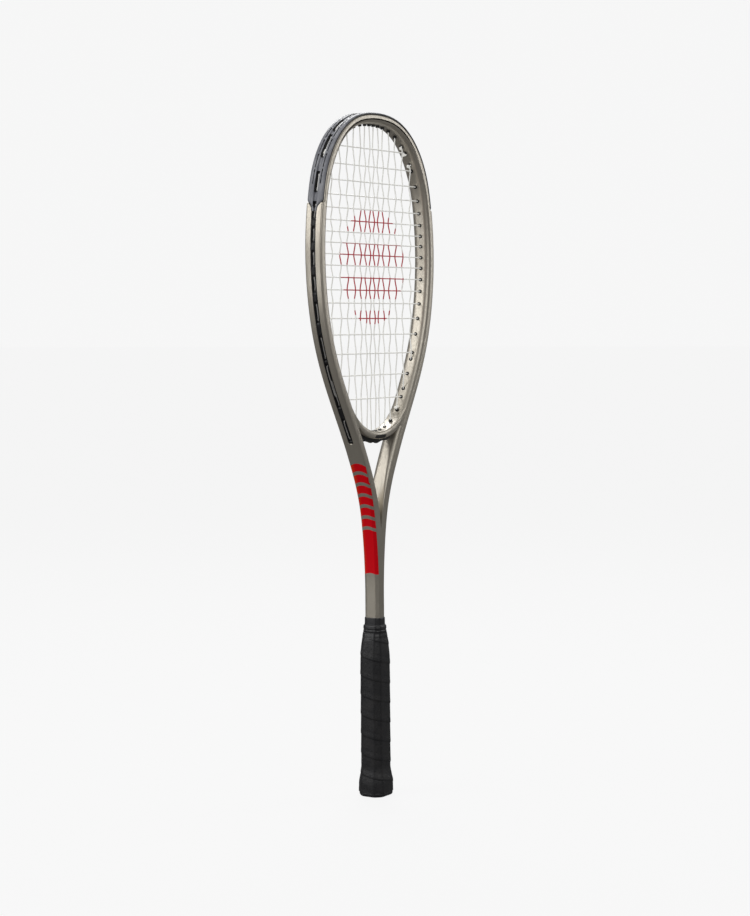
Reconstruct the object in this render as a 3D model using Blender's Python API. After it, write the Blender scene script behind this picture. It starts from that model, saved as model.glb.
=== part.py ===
"""Squash racket, standing upright on its butt end.

X runs across the head, Y through the string bed and Z along the racket, with Z = 0 at the butt end. Shapes are
worked out in millimetres and turned into metres when a mesh is made.

The head, legs and shaft follow one outline: the outer edge of the moulding in the XZ plane. A place on it is
(s, n, y): the length s along the outline from the crown (negative on the -X side), the distance n outside the
outline, and the height y above the plane of the strings.
"""

import math

import bmesh
import bpy
import numpy as np

MM = 0.001
GAP = 0.3

# Outer edge of the moulding, from the crown down the +X side to the shaft
OUTLINE = (
    (0.0, 681.5), (38.6, 675.8), (70.6, 654.9), (92.0, 622.0), (101.0, 584.0), (103.7, 544.0),
    (101.1, 504.5), (93.1, 465.5), (78.9, 428.0), (60.4, 393.0), (41.0, 358.5), (24.2, 322.5),
    (14.1, 284.0), (9.1, 246.0), (7.3, 214.0), (7.3, 170.0), (7.3, 100.0), (7.3, 3.4),
)
WIDEST_Z = 544.0

# Moulded frame
RIM_THICKNESS = 11.2
RIM_HALF_DEPTH = 9.5
SHAFT_HALF_DEPTH = 8.5
SHAFT_BEVEL = 2.9
SHAFT_BORE_HALF = (5.6, 6.8)
SHAFT_BORE_TOP_Z = 236.0
GROOVE_DEPTH = 2.4
GROOVE_HALF = 3.3
GROOVE_END_Z = 357.0
LEG_BLEND_Z = (345.0, 278.0)
HOLE_RADIUS = 2.3

# Bridge between the legs: a bar along an arc round the middle of the head
BRIDGE_RADIUS = 63.0
BRIDGE_CENTRE_Z = 431.2
BRIDGE_THICKNESS = 7.7
BRIDGE_HALF_DEPTH = 8.7
BRIDGE_END_ANGLE = math.radians(40)

# Bumper guard and grommet strips
BUMPER_END_Z = 586.5
BUMPER_TAPER_Z = 599.5
BUMPER_RISE_Z = 592.0
BUMPER_CROWN_Z = 670.0
BUMPER_PLATE = 1.9
BUMPER_PROUD = 2.5
BUMPER_HALF_DEPTH = 9.2
STRIP_START_Z = 585.3
TROUGH_FLOOR = 1.3
TROUGH_HALF = 2.3
BARREL_RADIUS = 1.6
BORE_RADIUS = 1.05
BARREL_SIDES = 6
BED_GAP = 0.3
BARREL_START = 0.6
THROAT_STRIP_ANGLE = math.radians(23)

# Strings
STRING_RADIUS = 0.62
MAIN_STRING_SIDES = 6
CROSS_STRING_SIDES = 5
MAIN_OFFSETS = (3.7, 11.7, 20.7, 31.6, 43.8, 56.5, 71.4)
CROSS_HEIGHTS = (
    648.6, 631.2, 615.5, 601.2, 588.5, 576.5, 565.3, 554.7, 543.5,
    532.6, 520.9, 508.8, 496.0, 480.9, 465.0, 446.0, 424.6, 401.2,
)
MAIN_WAVE = 1.0
CROSS_WAVE = 0.5
LOOP_OFFSET = 1.45
LOOP_LEAD = 3.5
TAIL = 5.0
# Heights of both ends of the slanted string holes where the legs leave the head: main offset: (bed end, groove)
CORNER_HOLES = {43.8: (388.6, 380.0), 31.6: (378.2, 361.6)}
BRIDGE_MAINS = (3.7, 11.7, 20.7)

# Handle, each size a half width along X and Y
SHAFT_HALF = (7.3, 8.5)
GRIP_HALF = (13.6, 12.1)
GRIP_BEVEL = 5.0
FLARE_HALF = (16.6, 15.1)
FLARE_BEVEL = 7.0
GRIP_THICKNESS = 1.4
GRIP_START_Z = 4.4
FLARE_Z = 12.0
FLARE_TOP_Z = 31.0
TAPER_START_Z = 137.0
TAPER_END_Z = 181.0
TAPER_POWER = 1.8
GRIP_TOP_Z = 165.0
FOAM_TOP_Z = 156.0
WAIST_Z = 21.5
TAPER_MIDDLE_Z = 148.0
CAP_FLOOR = 2.8
CAP_WALL = 1.5
CAP_TOP_Z = 26.0
BADGE_RADIUS = 8.0
BADGE_RECESS = 1.0
BADGE_THICKNESS = 0.6
STAPLE_WIRE = 0.9
STAPLE_WIDTH = 8.0
STAPLE_LEG = 2.8
STAPLE_INSET = 0.7
STAPLE_Z = 19.0
STAPLE_X = 5.6
TAPE_THICKNESS = 0.35
TAPE_BOTTOM_Z = 158.0
TAPE_TOP_Z = 171.0
COLLAR_BOTTOM_Z = 166.3
COLLAR_SHOULDER_Z = 173.6
COLLAR_TOP_Z = 181.0
# How far the collar's surfaces stand outside the shaft
SKIRT_INSIDE = 1.05
SKIRT_OUTSIDE = 2.2
NECK_OUTSIDE = 0.9


def clear_scene():
    for obj in list(bpy.data.objects):
        bpy.data.objects.remove(obj)


def material(name, colour, roughness, metallic=0.0):
    made = bpy.data.materials.new(name)
    made.use_nodes = True
    shader = made.node_tree.nodes["Principled BSDF"]
    shader.inputs["Base Color"].default_value = (*colour, 1.0)
    shader.inputs["Roughness"].default_value = roughness
    shader.inputs["Metallic"].default_value = metallic
    made.diffuse_color = (*colour, 1.0)
    return made


def new_object(name, mesh, skin, location=(0, 0, 0)):
    obj = bpy.data.objects.new(name, mesh)
    bpy.context.scene.collection.objects.link(obj)
    obj.location = location
    if skin:
        mesh.materials.append(skin)
        mesh.set_sharp_from_angle(angle=math.radians(35))
    else:
        obj.hide_render = True
        obj.display_type = "WIRE"
    return obj


def mesh_of(name, points, faces):
    """A mesh from points in millimetres, with its normals outwards."""
    mesh = bpy.data.meshes.new(name)
    mesh.from_pydata([tuple(c * MM for c in point) for point in points], [], faces)
    work = bmesh.new()
    work.from_mesh(mesh)
    loose = [vert for vert in work.verts if not vert.link_faces]
    bmesh.ops.delete(work, geom=loose, context="VERTS")
    bmesh.ops.recalc_face_normals(work, faces=work.faces)
    work.to_mesh(mesh)
    work.free()
    mesh.shade_smooth()
    return mesh


def tube_faces(rings, sides, capped=True, looped=False):
    """Faces of a skin over rings of points, side by side. A looped skin joins the last ring to the first."""
    faces = []
    for k in range(rings if looped else rings - 1):
        low = k * sides
        high = (k + 1) % rings * sides
        for i in range(sides):
            j = (i + 1) % sides
            faces.append((low + i, low + j, high + j, high + i))
    if capped and not looped:
        faces.append(tuple(range(sides))[::-1])
        faces.append(tuple(range((rings - 1) * sides, rings * sides)))
    return faces


def boolean(obj, cutter, operation="DIFFERENCE"):
    step = obj.modifiers.new(operation.title(), "BOOLEAN")
    step.operation = operation
    step.object = cutter


# ---------------------------------------------------------------- outline

def smooth_curve(points, spacing):
    """Points of a natural cubic spline through the given ones, by chord length, about spacing apart."""
    known = np.array(points)
    t = np.r_[0, np.cumsum(np.hypot(*np.diff(known, axis=0).T))]
    h = np.diff(t)
    rows = np.eye(len(t))
    right = np.zeros_like(known)
    for i in range(1, len(t) - 1):
        rows[i, i - 1:i + 2] = h[i - 1], 2 * (h[i - 1] + h[i]), h[i]
        right[i] = 6 * ((known[i + 1] - known[i]) / h[i] - (known[i] - known[i - 1]) / h[i - 1])
    bend = np.linalg.solve(rows, right)
    at = np.linspace(0, t[-1], int(t[-1] / spacing) + 1)
    k = np.clip(np.searchsorted(t, at, side="right") - 1, 0, len(h) - 1)
    a = ((t[k + 1] - at) / h[k])[:, None]
    b = 1 - a
    width = (h[k] ** 2 / 6)[:, None]
    return a * known[k] + b * known[k + 1] + ((a**3 - a) * bend[k] + (b**3 - b) * bend[k + 1]) * width


def trace_outline():
    """Arc length, point and outward normal along the +X half of the outline."""
    mirrored = [(-x, z) for x, z in OUTLINE[:0:-1]]
    both = smooth_curve(mirrored + list(OUTLINE), 0.25)
    half = both[both[:, 0] >= 0]
    half = np.vstack([[0.0, OUTLINE[0][1]], half[half[:, 0] > 0.01]])
    step = np.gradient(half, axis=0)
    step[0] = (1, 0)
    normal = np.c_[-step[:, 1], step[:, 0]]
    normal /= np.linalg.norm(normal, axis=1)[:, None]
    length = np.r_[0, np.cumsum(np.hypot(*np.diff(half, axis=0).T))]
    return length, half, normal


LENGTH_ALONG, EDGE, NORMAL = trace_outline()
OUTLINE_END = LENGTH_ALONG[-1]


def s_at_z(z):
    return float(np.interp(-z, -EDGE[:, 1], LENGTH_ALONG))


def rim_normal(s):
    nx, nz = (np.interp(abs(s), LENGTH_ALONG, NORMAL[:, k]) for k in (0, 1))
    return np.array([math.copysign(nx, s) if s else 0.0, nz])


def rim(s, n=0.0):
    """(x, z) at length s along the outline and n outside it."""
    x, z = (np.interp(abs(s), LENGTH_ALONG, EDGE[:, k]) for k in (0, 1))
    return np.array([-x if s < 0 else x, z]) + n * rim_normal(s)


def arc(s, n=0.0):
    """(x, z) at length s along the bridge's upper side and n below it."""
    angle = s / BRIDGE_RADIUS
    reach = BRIDGE_RADIUS + n
    return np.array([reach * math.sin(angle), BRIDGE_CENTRE_Z - reach * math.cos(angle)])


def ease(value, start, end):
    """0 at start and 1 at end, smoothly, whichever is the larger."""
    t = min(max((value - start) / (end - start), 0.0), 1.0)
    return t * t * (3 - 2 * t)


def height(s):
    return rim(s)[1]


def proud(s):
    """How far the bumper guard stands outside the outline."""
    return BUMPER_PROUD * ease(height(s), BUMPER_RISE_Z, BUMPER_CROWN_Z)


def face_n(s):
    """The moulding's outer face: on the outline, but set back under the bumper guard."""
    if height(s) < BUMPER_END_Z - 0.6:
        return 0.0
    return proud(s) - BUMPER_PLATE - GAP


def place(section, s, along=rim):
    """A ring of 3-D points from a section of (n, y) pairs."""
    return [(*along(s, n)[:1], y, along(s, n)[1]) for n, y in section]


def both_sides(half):
    """A whole section from the points of its y > 0 half."""
    return half + [(n, -y) for n, y in reversed(half)]


def spread(start, end, spacing):
    count = max(int(math.ceil(abs(end - start) / spacing)), 1)
    return [start + (end - start) * k / count for k in range(count + 1)]


# ---------------------------------------------------------------- frame

def frame_section(s, grow=0.0):
    """Section of the moulding, with the groove open on its outer face and flattened where the legs join."""
    z = height(s)
    merge = ease(z, *LEG_BLEND_Z)
    deep = RIM_HALF_DEPTH + (SHAFT_HALF_DEPTH - RIM_HALF_DEPTH) * merge + grow
    to_middle = abs(rim(s)[0]) / max(abs(rim_normal(s)[0]), 1e-6)
    thick = RIM_THICKNESS if z > WIDEST_Z else min(RIM_THICKNESS + 0.6 * merge, to_middle)
    face = face_n(s) + grow
    inner = -thick - grow
    groove = GROOVE_DEPTH if z > GROOVE_END_Z and not grow else 0.0
    shoulder = 2.1 + (SHAFT_BEVEL - 2.1) * merge
    half = [
        (inner, 4.8),
        (inner + 1.4 * (1 - merge), deep - 1.5 * (1 - merge)),
        (inner + 4.0 - 1.2 * merge, deep),
        (face - shoulder - 0.1, deep),
        (face, deep - shoulder),
        (face, GROOVE_HALF),
        (face - groove, GROOVE_HALF - 0.2 if groove else 1.6),
    ]
    return both_sides(half)


def half_frame_mesh():
    """The +X half of the moulding, open where it meets its mirror image at X = 0."""
    step = s_at_z(BUMPER_END_Z - 0.6)
    end = s_at_z(GROOVE_END_Z)
    places = spread(0, step - 0.1, 11) + spread(step + 0.1, end - 0.1, 11.5) + spread(end + 0.1, s_at_z(214), 12)
    places += [s_at_z(120), OUTLINE_END]
    rings = [place(frame_section(s), s) for s in places]
    sides = len(rings[0])
    points = [(0.0 if abs(x) < 0.02 else x, y, z) for ring in rings for x, y, z in ring]
    faces = tube_faces(len(rings), sides, capped=False)
    faces = [face for face in faces if any(points[i][0] for i in face)]
    faces.append(tuple(range(len(points) - sides, len(points))))
    return mesh_of("frame", points, faces)


def shaft_bore():
    half = octagon(*SHAFT_BORE_HALF, 1.8)
    points = [(x, y, z) for z in (OUTLINE[-1][1] - 5, SHAFT_BORE_TOP_Z) for x, y in half]
    return new_object("shaft_bore_cutter", mesh_of("shaft_bore_cutter", points, tube_faces(2, 8)), None)


def make_frame(skin, holes):
    frame = new_object("frame", half_frame_mesh(), skin)
    mirror = frame.modifiers.new("Mirror", "MIRROR")
    mirror.use_mirror_merge = True
    mirror.merge_threshold = 0.00002
    boolean(frame, holes)
    boolean(frame, shaft_bore())
    return frame


def make_bridge(skin, holes):
    """The bar between the legs. Its ends are cut to the legs, a gap away."""
    reach = BRIDGE_END_ANGLE * BRIDGE_RADIUS
    deep = BRIDGE_HALF_DEPTH
    low = BRIDGE_THICKNESS
    half = [(0.0, deep - 2.2), (1.2, deep - 0.6), (3.0, deep), (low - 1.8, deep), (low, deep - 2.4)]
    rings = [place(both_sides(half), s, arc) for s in spread(-reach, reach, 9)]
    points = [point for ring in rings for point in ring]
    bridge = new_object("throat_bridge", mesh_of("throat_bridge", points, tube_faces(len(rings), 10)), skin)
    for side in (-1, 1):
        places = spread(s_at_z(405), s_at_z(340), 12)
        rings = [place(frame_section(side * s, GAP), side * s) for s in places]
        points = [point for ring in rings for point in ring]
        name = f"leg_cutter_{'right' if side > 0 else 'left'}"
        boolean(bridge, new_object(name, mesh_of(name, points, tube_faces(len(rings), len(rings[0]))), None))
    boolean(bridge, holes)
    return bridge


# ---------------------------------------------------------------- string holes

class Hole:
    """A string hole: from its end in the bed along a straight line to the string's seat in the groove."""

    def __init__(self, bed, seat, s, along):
        self.bed = np.array(bed)
        self.seat = np.array(seat)
        self.s = s
        self.along = along
        self.way = (self.seat - self.bed) / np.linalg.norm(self.seat - self.bed)
        square = self.along(s, 1.0) - self.along(s, 0.0)
        self.slant = abs(self.way[0] * square[1] - self.way[1] * square[0])

    def prism(self, radius, start, end):
        """Rings of a six-sided prism on the hole's axis, from start past the bed end to end past the seat."""
        across = np.array([-self.way[1], self.way[0]])
        rings = []
        for x, z in (self.bed + start * self.way, self.seat + end * self.way):
            for k in range(BARREL_SIDES):
                turn = 2 * math.pi * (k + 0.5) / BARREL_SIDES
                reach = radius * math.cos(turn)
                rings.append((x + across[0] * reach, radius * math.sin(turn), z + across[1] * reach))
        return rings


STRING_N = GAP + STRING_RADIUS - TROUGH_FLOOR
BRIDGE_STRIP_FLOOR = BRIDGE_THICKNESS + GAP + 1.0


def rim_hole(low, high, axis, value):
    """The hole between heights low and high whose bed end has this x (axis 0) or z (axis 1)."""
    depth = RIM_THICKNESS + BED_GAP
    lengths = np.linspace(s_at_z(high), s_at_z(low), 600)
    ends = np.array([rim(s, -depth)[axis] for s in lengths])
    order = np.argsort(ends)
    s = float(np.interp(value, ends[order], lengths[order]))
    return Hole(rim(s, -depth), rim(s, face_n(s) + STRING_N), s, rim)


def mirrored_hole(hole):
    flip = np.array([-1, 1])
    return Hole(hole.bed * flip, hole.seat * flip, -hole.s, hole.along)


def main_holes(x):
    """Upper and lower hole of the main string at x > 0."""
    top = rim_hole(WIDEST_Z, OUTLINE[0][1], 0, x)
    if x in BRIDGE_MAINS:
        s = BRIDGE_RADIUS * math.asin(x / (BRIDGE_RADIUS - BED_GAP))
        seat = arc(s, BRIDGE_STRIP_FLOOR + GAP + STRING_RADIUS)
        return top, Hole(arc(s, -BED_GAP), seat, s, arc)
    if x in CORNER_HOLES:
        bed_z, seat_z = CORNER_HOLES[x]
        s = s_at_z(seat_z)
        return top, Hole((x, bed_z), rim(s, STRING_N), s, rim)
    return top, rim_hole(380, WIDEST_Z, 0, x)


def all_holes():
    """(top, bottom) hole of each main from -X to +X, and (-X, +X) hole of each cross from the crown down."""
    mains = []
    for x in MAIN_OFFSETS:
        top, bottom = main_holes(x)
        mains.append((x, top, bottom))
        mains.append((-x, mirrored_hole(top), mirrored_hole(bottom)))
    mains.sort(key=lambda main: main[0])
    crosses = []
    for z in CROSS_HEIGHTS:
        hole = rim_hole(360, OUTLINE[0][1], 1, z)
        crosses.append((z, mirrored_hole(hole), hole))
    return mains, crosses


def prisms(name, holes, radius, start, end):
    """One mesh of separate prisms, for a Boolean. start and end may depend on the hole."""
    points = []
    faces = []
    for hole in holes:
        base = len(points)
        points += hole.prism(radius, start(hole), end(hole))
        faces += [tuple(base + i for i in face) for face in tube_faces(2, BARREL_SIDES)]
    return new_object(name, mesh_of(name, points, faces), None)


def add_barrels(strip, holes):
    """Joins a barrel to the strip at each hole, and opens the bore through both."""
    seat = STRING_N + TROUGH_FLOOR + 0.4
    barrels = prisms(
        strip.name + "_barrels", holes, BARREL_RADIUS,
        lambda hole: BARREL_START, lambda hole: -seat - 0.5 * BARREL_RADIUS * hole.slant,
    )
    bores = prisms(strip.name + "_bores", holes, BORE_RADIUS, lambda hole: -1.0, lambda hole: 2.5)
    boolean(strip, barrels, "UNION")
    boolean(strip, bores)


# ---------------------------------------------------------------- bumper guard and grommet strips

def bumper_section(s):
    """Plate over the outer face with a trough for the strings; its ends narrow like a fish's tail."""
    face = face_n(s)
    top = face + GAP + BUMPER_PLATE
    wide = BUMPER_HALF_DEPTH - 4.2 * ease(height(s), BUMPER_TAPER_Z, BUMPER_END_Z)
    half = [
        (face - TROUGH_FLOOR, TROUGH_HALF - 0.2),
        (top, TROUGH_HALF + 0.5),
        (top, wide - 1.0),
        (face + GAP + 0.8, wide),
        (face + GAP, wide - 0.2),
        (face + GAP, GROOVE_HALF - GAP),
        (face - GROOVE_DEPTH + GAP, GROOVE_HALF - GAP - 0.25),
    ]
    return both_sides(half)


def strip_section(s):
    half = [
        (-TROUGH_FLOOR, TROUGH_HALF - 0.2),
        (-0.1, TROUGH_HALF + 0.1),
        (-0.1, GROOVE_HALF - GAP),
        (GAP - GROOVE_DEPTH, GROOVE_HALF - GAP - 0.25),
    ]
    return both_sides(half)


def throat_strip_section(s):
    floor = BRIDGE_STRIP_FLOOR
    base = BRIDGE_THICKNESS + GAP
    half = [(floor, 2.4), (floor + 3.0, 2.7), (floor + 3.0, 4.0), (base, 4.4)]
    return both_sides(half)


def swept_strip(name, section, places, skin, along=rim):
    rings = [place(section(s), s, along) for s in places]
    points = [point for ring in rings for point in ring]
    faces = tube_faces(len(rings), len(rings[0]))
    return new_object(name, mesh_of(name, points, faces), skin)


def make_guards(guard_skin, strip_skin, mains, crosses):
    end = s_at_z(BUMPER_END_Z)
    places = spread(-end, 0, 11)[:-1] + spread(0, end, 11)
    bumper = swept_strip("bumper_guard", bumper_section, places, guard_skin)
    rim_holes = [hole for row in mains + crosses for hole in row[1:] if hole.along is rim]
    add_barrels(bumper, [hole for hole in rim_holes if abs(hole.s) < end])
    for side, name in ((-1, "grommet_strip_left"), (1, "grommet_strip_right")):
        lengths = spread(s_at_z(STRIP_START_Z), s_at_z(GROOVE_END_Z) - 0.5, 11.5)
        strip = swept_strip(name, strip_section, [side * s for s in lengths], strip_skin)
        add_barrels(strip, [hole for hole in rim_holes if hole.s * side > end])
    reach = THROAT_STRIP_ANGLE * BRIDGE_RADIUS
    throat = swept_strip("throat_grommet_strip", throat_strip_section, spread(-reach, reach, 9), strip_skin, arc)
    add_barrels(throat, [hole for main in mains for hole in main[1:] if hole.along is arc])


# ---------------------------------------------------------------- strings

def loop_n(s):
    """Centre of a looped string, which rises early at the guard's end so that it clears the strip beyond."""
    ahead = s + math.copysign(LOOP_LEAD, s)
    return max(face_n(s), face_n(ahead)) + STRING_N


def loop(first, last, side):
    """The string's way along the groove from one hole to the next, on one side of the groove."""
    run = last.s - first.s
    lead = math.copysign(min(LOOP_LEAD, 0.3 * abs(run)), run)
    points = []
    for s in spread(first.s + lead, last.s - lead, 9):
        n = BRIDGE_STRIP_FLOOR + GAP + STRING_RADIUS if first.along is arc else loop_n(s)
        x, z = first.along(s, n)
        points.append((x, side * LOOP_OFFSET, z))
    return points


def tail(hole, side, way):
    """The loose end of a string, lying in the groove past its last hole."""
    s = hole.s + way * TAIL
    x, z = rim(s, face_n(s) + STRING_N)
    return [(x, side * LOOP_OFFSET, z)]


def threaded(hole, outwards):
    ends = [(hole.bed[0], 0.0, hole.bed[1]), (hole.seat[0], 0.0, hole.seat[1])]
    return ends if outwards else ends[::-1]


def bed_line(index, start, end, others, axis, wave):
    """Points where a string passes over and under the strings across it, from start to end."""
    fixed = (start.bed[0] + end.bed[0]) / 2 if axis == 2 else (start.bed[1] + end.bed[1]) / 2
    low, high = sorted((start.bed[axis // 2], end.bed[axis // 2]))
    points = []
    for k, (place_at, first, last) in enumerate(others):
        span = sorted((first.bed[1 - axis // 2], last.bed[1 - axis // 2]))
        if low < place_at < high and span[0] < fixed < span[1]:
            y = wave * (-1) ** (index + k)
            points.append((fixed, y, place_at) if axis == 2 else (place_at, y, fixed))
    return points if start.bed[axis // 2] < end.bed[axis // 2] else points[::-1]


def main_route(mains, crosses):
    rising = crosses[::-1]
    parity = len(crosses) - 1
    route = tail(mains[0][1], 1, -1)
    for index, (x, top, bottom) in enumerate(mains):
        start, end = (top, bottom) if index % 2 == 0 else (bottom, top)
        line = bed_line(index + parity, bottom, top, rising, 2, MAIN_WAVE)
        line = line[::-1] if index % 2 == 0 else line
        route += threaded(start, False) + line + threaded(end, True)
        if index + 1 < len(mains):
            following = mains[index + 1][2 if index % 2 == 0 else 1]
            route += loop(end, following, 1)
    return route + tail(mains[-1][1], 1, 1)


def cross_route(mains, crosses):
    route = tail(crosses[0][2], -1, -1)
    for index, (z, left, right) in enumerate(crosses):
        start, end = (right, left) if index % 2 == 0 else (left, right)
        line = bed_line(index, left, right, mains, 0, -CROSS_WAVE)
        line = line[::-1] if index % 2 == 0 else line
        route += threaded(start, False) + line + threaded(end, True)
        if index + 1 < len(crosses):
            following = crosses[index + 1][1 if index % 2 == 0 else 2]
            route += loop(end, following, -1)
    return route + tail(crosses[-1][2], -1, 1)


def string_mesh(name, route, sides):
    """A tube along the route, mitred at its bends."""
    path = np.array(route)
    legs = np.diff(path, axis=0)
    legs /= np.linalg.norm(legs, axis=1)[:, None]
    ways = np.vstack([legs[:1], legs[:-1] + legs[1:], legs[-1:]])
    ways /= np.linalg.norm(ways, axis=1)[:, None]
    side = np.cross(legs[0], (0.36, 0.8, 0.48))
    side /= np.linalg.norm(side)
    points = []
    for k, point in enumerate(path):
        leg = legs[min(k, len(legs) - 1)]
        before = legs[max(k - 1, 0)]
        up = np.cross(before, side)
        for i in range(sides):
            turn = 2 * math.pi * (i + 0.5) / sides
            offset = STRING_RADIUS * (math.cos(turn) * side + math.sin(turn) * up)
            offset -= before * (offset @ ways[k]) / (before @ ways[k])
            points.append(tuple(point + offset))
        axis = np.cross(before, leg)
        if np.linalg.norm(axis) > 1e-6:
            side = side - ways[k] * 2 * (side @ ways[k])
            side = -(side - leg * (side @ leg)) if side @ np.cross(leg, up) < 0 else side - leg * (side @ leg)
            side /= np.linalg.norm(side)
    return mesh_of(name, points, tube_faces(len(path), sides))


# ---------------------------------------------------------------- handle

def octagon(half_x, half_y, bevel):
    return [
        (half_x, half_y - bevel), (half_x - bevel, half_y), (bevel - half_x, half_y), (-half_x, half_y - bevel),
        (-half_x, bevel - half_y), (bevel - half_x, -half_y), (half_x - bevel, -half_y), (half_x, bevel - half_y),
    ]


def grip_outside(z):
    """Half widths and bevel of the wrapped handle at height z: a flared butt, a straight length and a taper."""
    flare = ease(z, FLARE_TOP_Z, FLARE_Z)
    along = min(max((z - TAPER_START_Z) / (TAPER_END_Z - TAPER_START_Z), 0.0), 1.0)
    taper = along ** TAPER_POWER
    full = (*GRIP_HALF, GRIP_BEVEL)
    wide = (*FLARE_HALF, FLARE_BEVEL)
    thin = (*SHAFT_HALF, SHAFT_BEVEL)
    return tuple(g + (w - g) * flare + (s - g) * taper for g, w, s in zip(full, wide, thin))


def inset_ring(size, by, z):
    """The octagon of a size, moved inwards on every side, as 3-D points."""
    half_x, half_y, bevel = size
    return [(x, y, z) for x, y in octagon(half_x - by, half_y - by, bevel - by * (2 - math.sqrt(2)))]


def hollow_mesh(name, outer, inner, drop=0.0):
    """A sleeve between outer and inner rings, each listed from bottom to top."""
    rings = outer + inner[::-1]
    points = [(x, y, z - drop) for ring in rings for x, y, z in ring]
    return mesh_of(name, points, tube_faces(len(rings), 8, looped=True))


def shaft_ring(by, z):
    return inset_ring((*SHAFT_HALF, SHAFT_BEVEL), by, z)


GRIP_LEVELS = (GRIP_START_Z, FLARE_Z, WAIST_Z, FLARE_TOP_Z, TAPER_START_Z, TAPER_MIDDLE_Z, TAPE_BOTTOM_Z - GAP)
UNDER_GRIP = GRIP_THICKNESS + GAP
UNDER_TAPE = TAPE_THICKNESS + GAP


def make_grip(skin):
    """The wrap as one sleeve. Its top end is thinned to let the finishing tape lie flush."""
    outer = [inset_ring(grip_outside(z), 0, z) for z in GRIP_LEVELS]
    outer += [inset_ring(grip_outside(z), UNDER_TAPE, z) for z in (TAPE_BOTTOM_Z, GRIP_TOP_Z)]
    inner = [inset_ring(grip_outside(z), GRIP_THICKNESS, z) for z in (*GRIP_LEVELS, TAPE_BOTTOM_Z, GRIP_TOP_Z)]
    return new_object("grip_wrap", hollow_mesh("grip_wrap", outer, inner), skin)


def make_foam(skin, pockets):
    levels = (
        CAP_FLOOR + GAP, FLARE_Z, WAIST_Z, CAP_TOP_Z + GAP, FLARE_TOP_Z, TAPER_START_Z, TAPER_MIDDLE_Z, FOAM_TOP_Z,
    )
    by = UNDER_GRIP + CAP_WALL + GAP
    outer = []
    for z in levels:
        if z <= CAP_TOP_Z + GAP:
            outer.append(inset_ring(grip_outside(max(z, GRIP_START_Z)), by, z))
        if z >= CAP_TOP_Z + GAP:
            outer.append(inset_ring(grip_outside(z), UNDER_GRIP, z))
    inner = [shaft_ring(-GAP, levels[0]), shaft_ring(-GAP, levels[-1])]
    foam = new_object("handle_foam", hollow_mesh("handle_foam", outer, inner), skin)
    boolean(foam, pockets)
    return foam


def make_cap(skin, pockets):
    """A cup over the end of the foam: a floor with a rounded edge, and a wall under the wrap."""
    rim_size = grip_outside(FLARE_Z)
    wall_size = [grip_outside(max(z, GRIP_START_Z)) for z in (GRIP_START_Z, FLARE_Z, WAIST_Z, CAP_TOP_Z)]
    rings = [
        inset_ring(rim_size, 3.2, 0.0),
        inset_ring(rim_size, 1.6, 0.6),
        inset_ring(rim_size, 0.8, 2.0),
        inset_ring(rim_size, 0.8, GRIP_START_Z - GAP),
        inset_ring(wall_size[0], UNDER_GRIP, GRIP_START_Z - GAP),
    ]
    rings += [inset_ring(wall_size[k], UNDER_GRIP, z) for k, z in ((1, FLARE_Z), (2, WAIST_Z), (3, CAP_TOP_Z))]
    inside = UNDER_GRIP + CAP_WALL
    rings += [inset_ring(wall_size[k], inside, z) for k, z in ((3, CAP_TOP_Z), (2, WAIST_Z), (1, FLARE_Z))]
    rings.append(inset_ring(wall_size[0], inside, CAP_FLOOR))
    points = [point for ring in rings for point in ring]
    cap = new_object("butt_cap", mesh_of("butt_cap", points, tube_faces(len(rings), 8)), skin)
    boolean(cap, disc("badge_recess_cutter", BADGE_RADIUS + GAP, -1.0, BADGE_RECESS, None))
    boolean(cap, pockets)
    return cap


def disc(name, radius, low, high, skin):
    count = 24
    turns = [2 * math.pi * k / count for k in range(count)]
    points = [(radius * math.cos(t), radius * math.sin(t), z) for z in (low, high) for t in turns]
    return new_object(name, mesh_of(name, points, tube_faces(2, count)), skin)


def staple_points(face_y, x, side, grow):
    """Outline of a staple in plan: a crown on the cap's wall and two legs into the foam."""
    half = STAPLE_WIDTH / 2 + grow
    wire = STAPLE_WIRE + 2 * grow
    outside = face_y + grow
    leg = face_y - STAPLE_LEG - grow
    corners = [
        (-half, outside), (half, outside), (half, leg), (half - wire, leg),
        (half - wire, outside - wire), (wire - half, outside - wire), (wire - half, leg), (-half, leg),
    ]
    thick = STAPLE_WIRE / 2 + grow
    return [(x + u, side * v, STAPLE_Z + dz) for dz in (-thick, thick) for u, v in corners]


def make_staples(skin):
    """Four staples, two on the front and two on the back, and the pockets that they sit in."""
    face_y = grip_outside(STAPLE_Z + 1.0)[1] - UNDER_GRIP - STAPLE_INSET
    pocket_points = []
    pocket_faces = []
    spots = [(x, side) for side in (-1, 1) for x in (-STAPLE_X, STAPLE_X)]
    for number, (x, side) in enumerate(spots, 1):
        name = f"butt_staple_{number}"
        new_object(name, mesh_of(name, staple_points(face_y, x, side, 0.0), tube_faces(2, 8)), skin)
        base = len(pocket_points)
        pocket_points += pocket(face_y, x, side)
        pocket_faces += [tuple(base + i for i in face) for face in tube_faces(2, 8)]
    return new_object("staple_pockets_cutter", mesh_of("staple_pockets_cutter", pocket_points, pocket_faces), None)


def pocket(face_y, x, side):
    """The staple's outline grown by the gap, with the crown's side open to the outside of the cap."""
    grown = staple_points(face_y, x, side, GAP)
    return [(u, side * (face_y + 2.0) if abs(v) > face_y else v, z) for u, v, z in grown]


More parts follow.
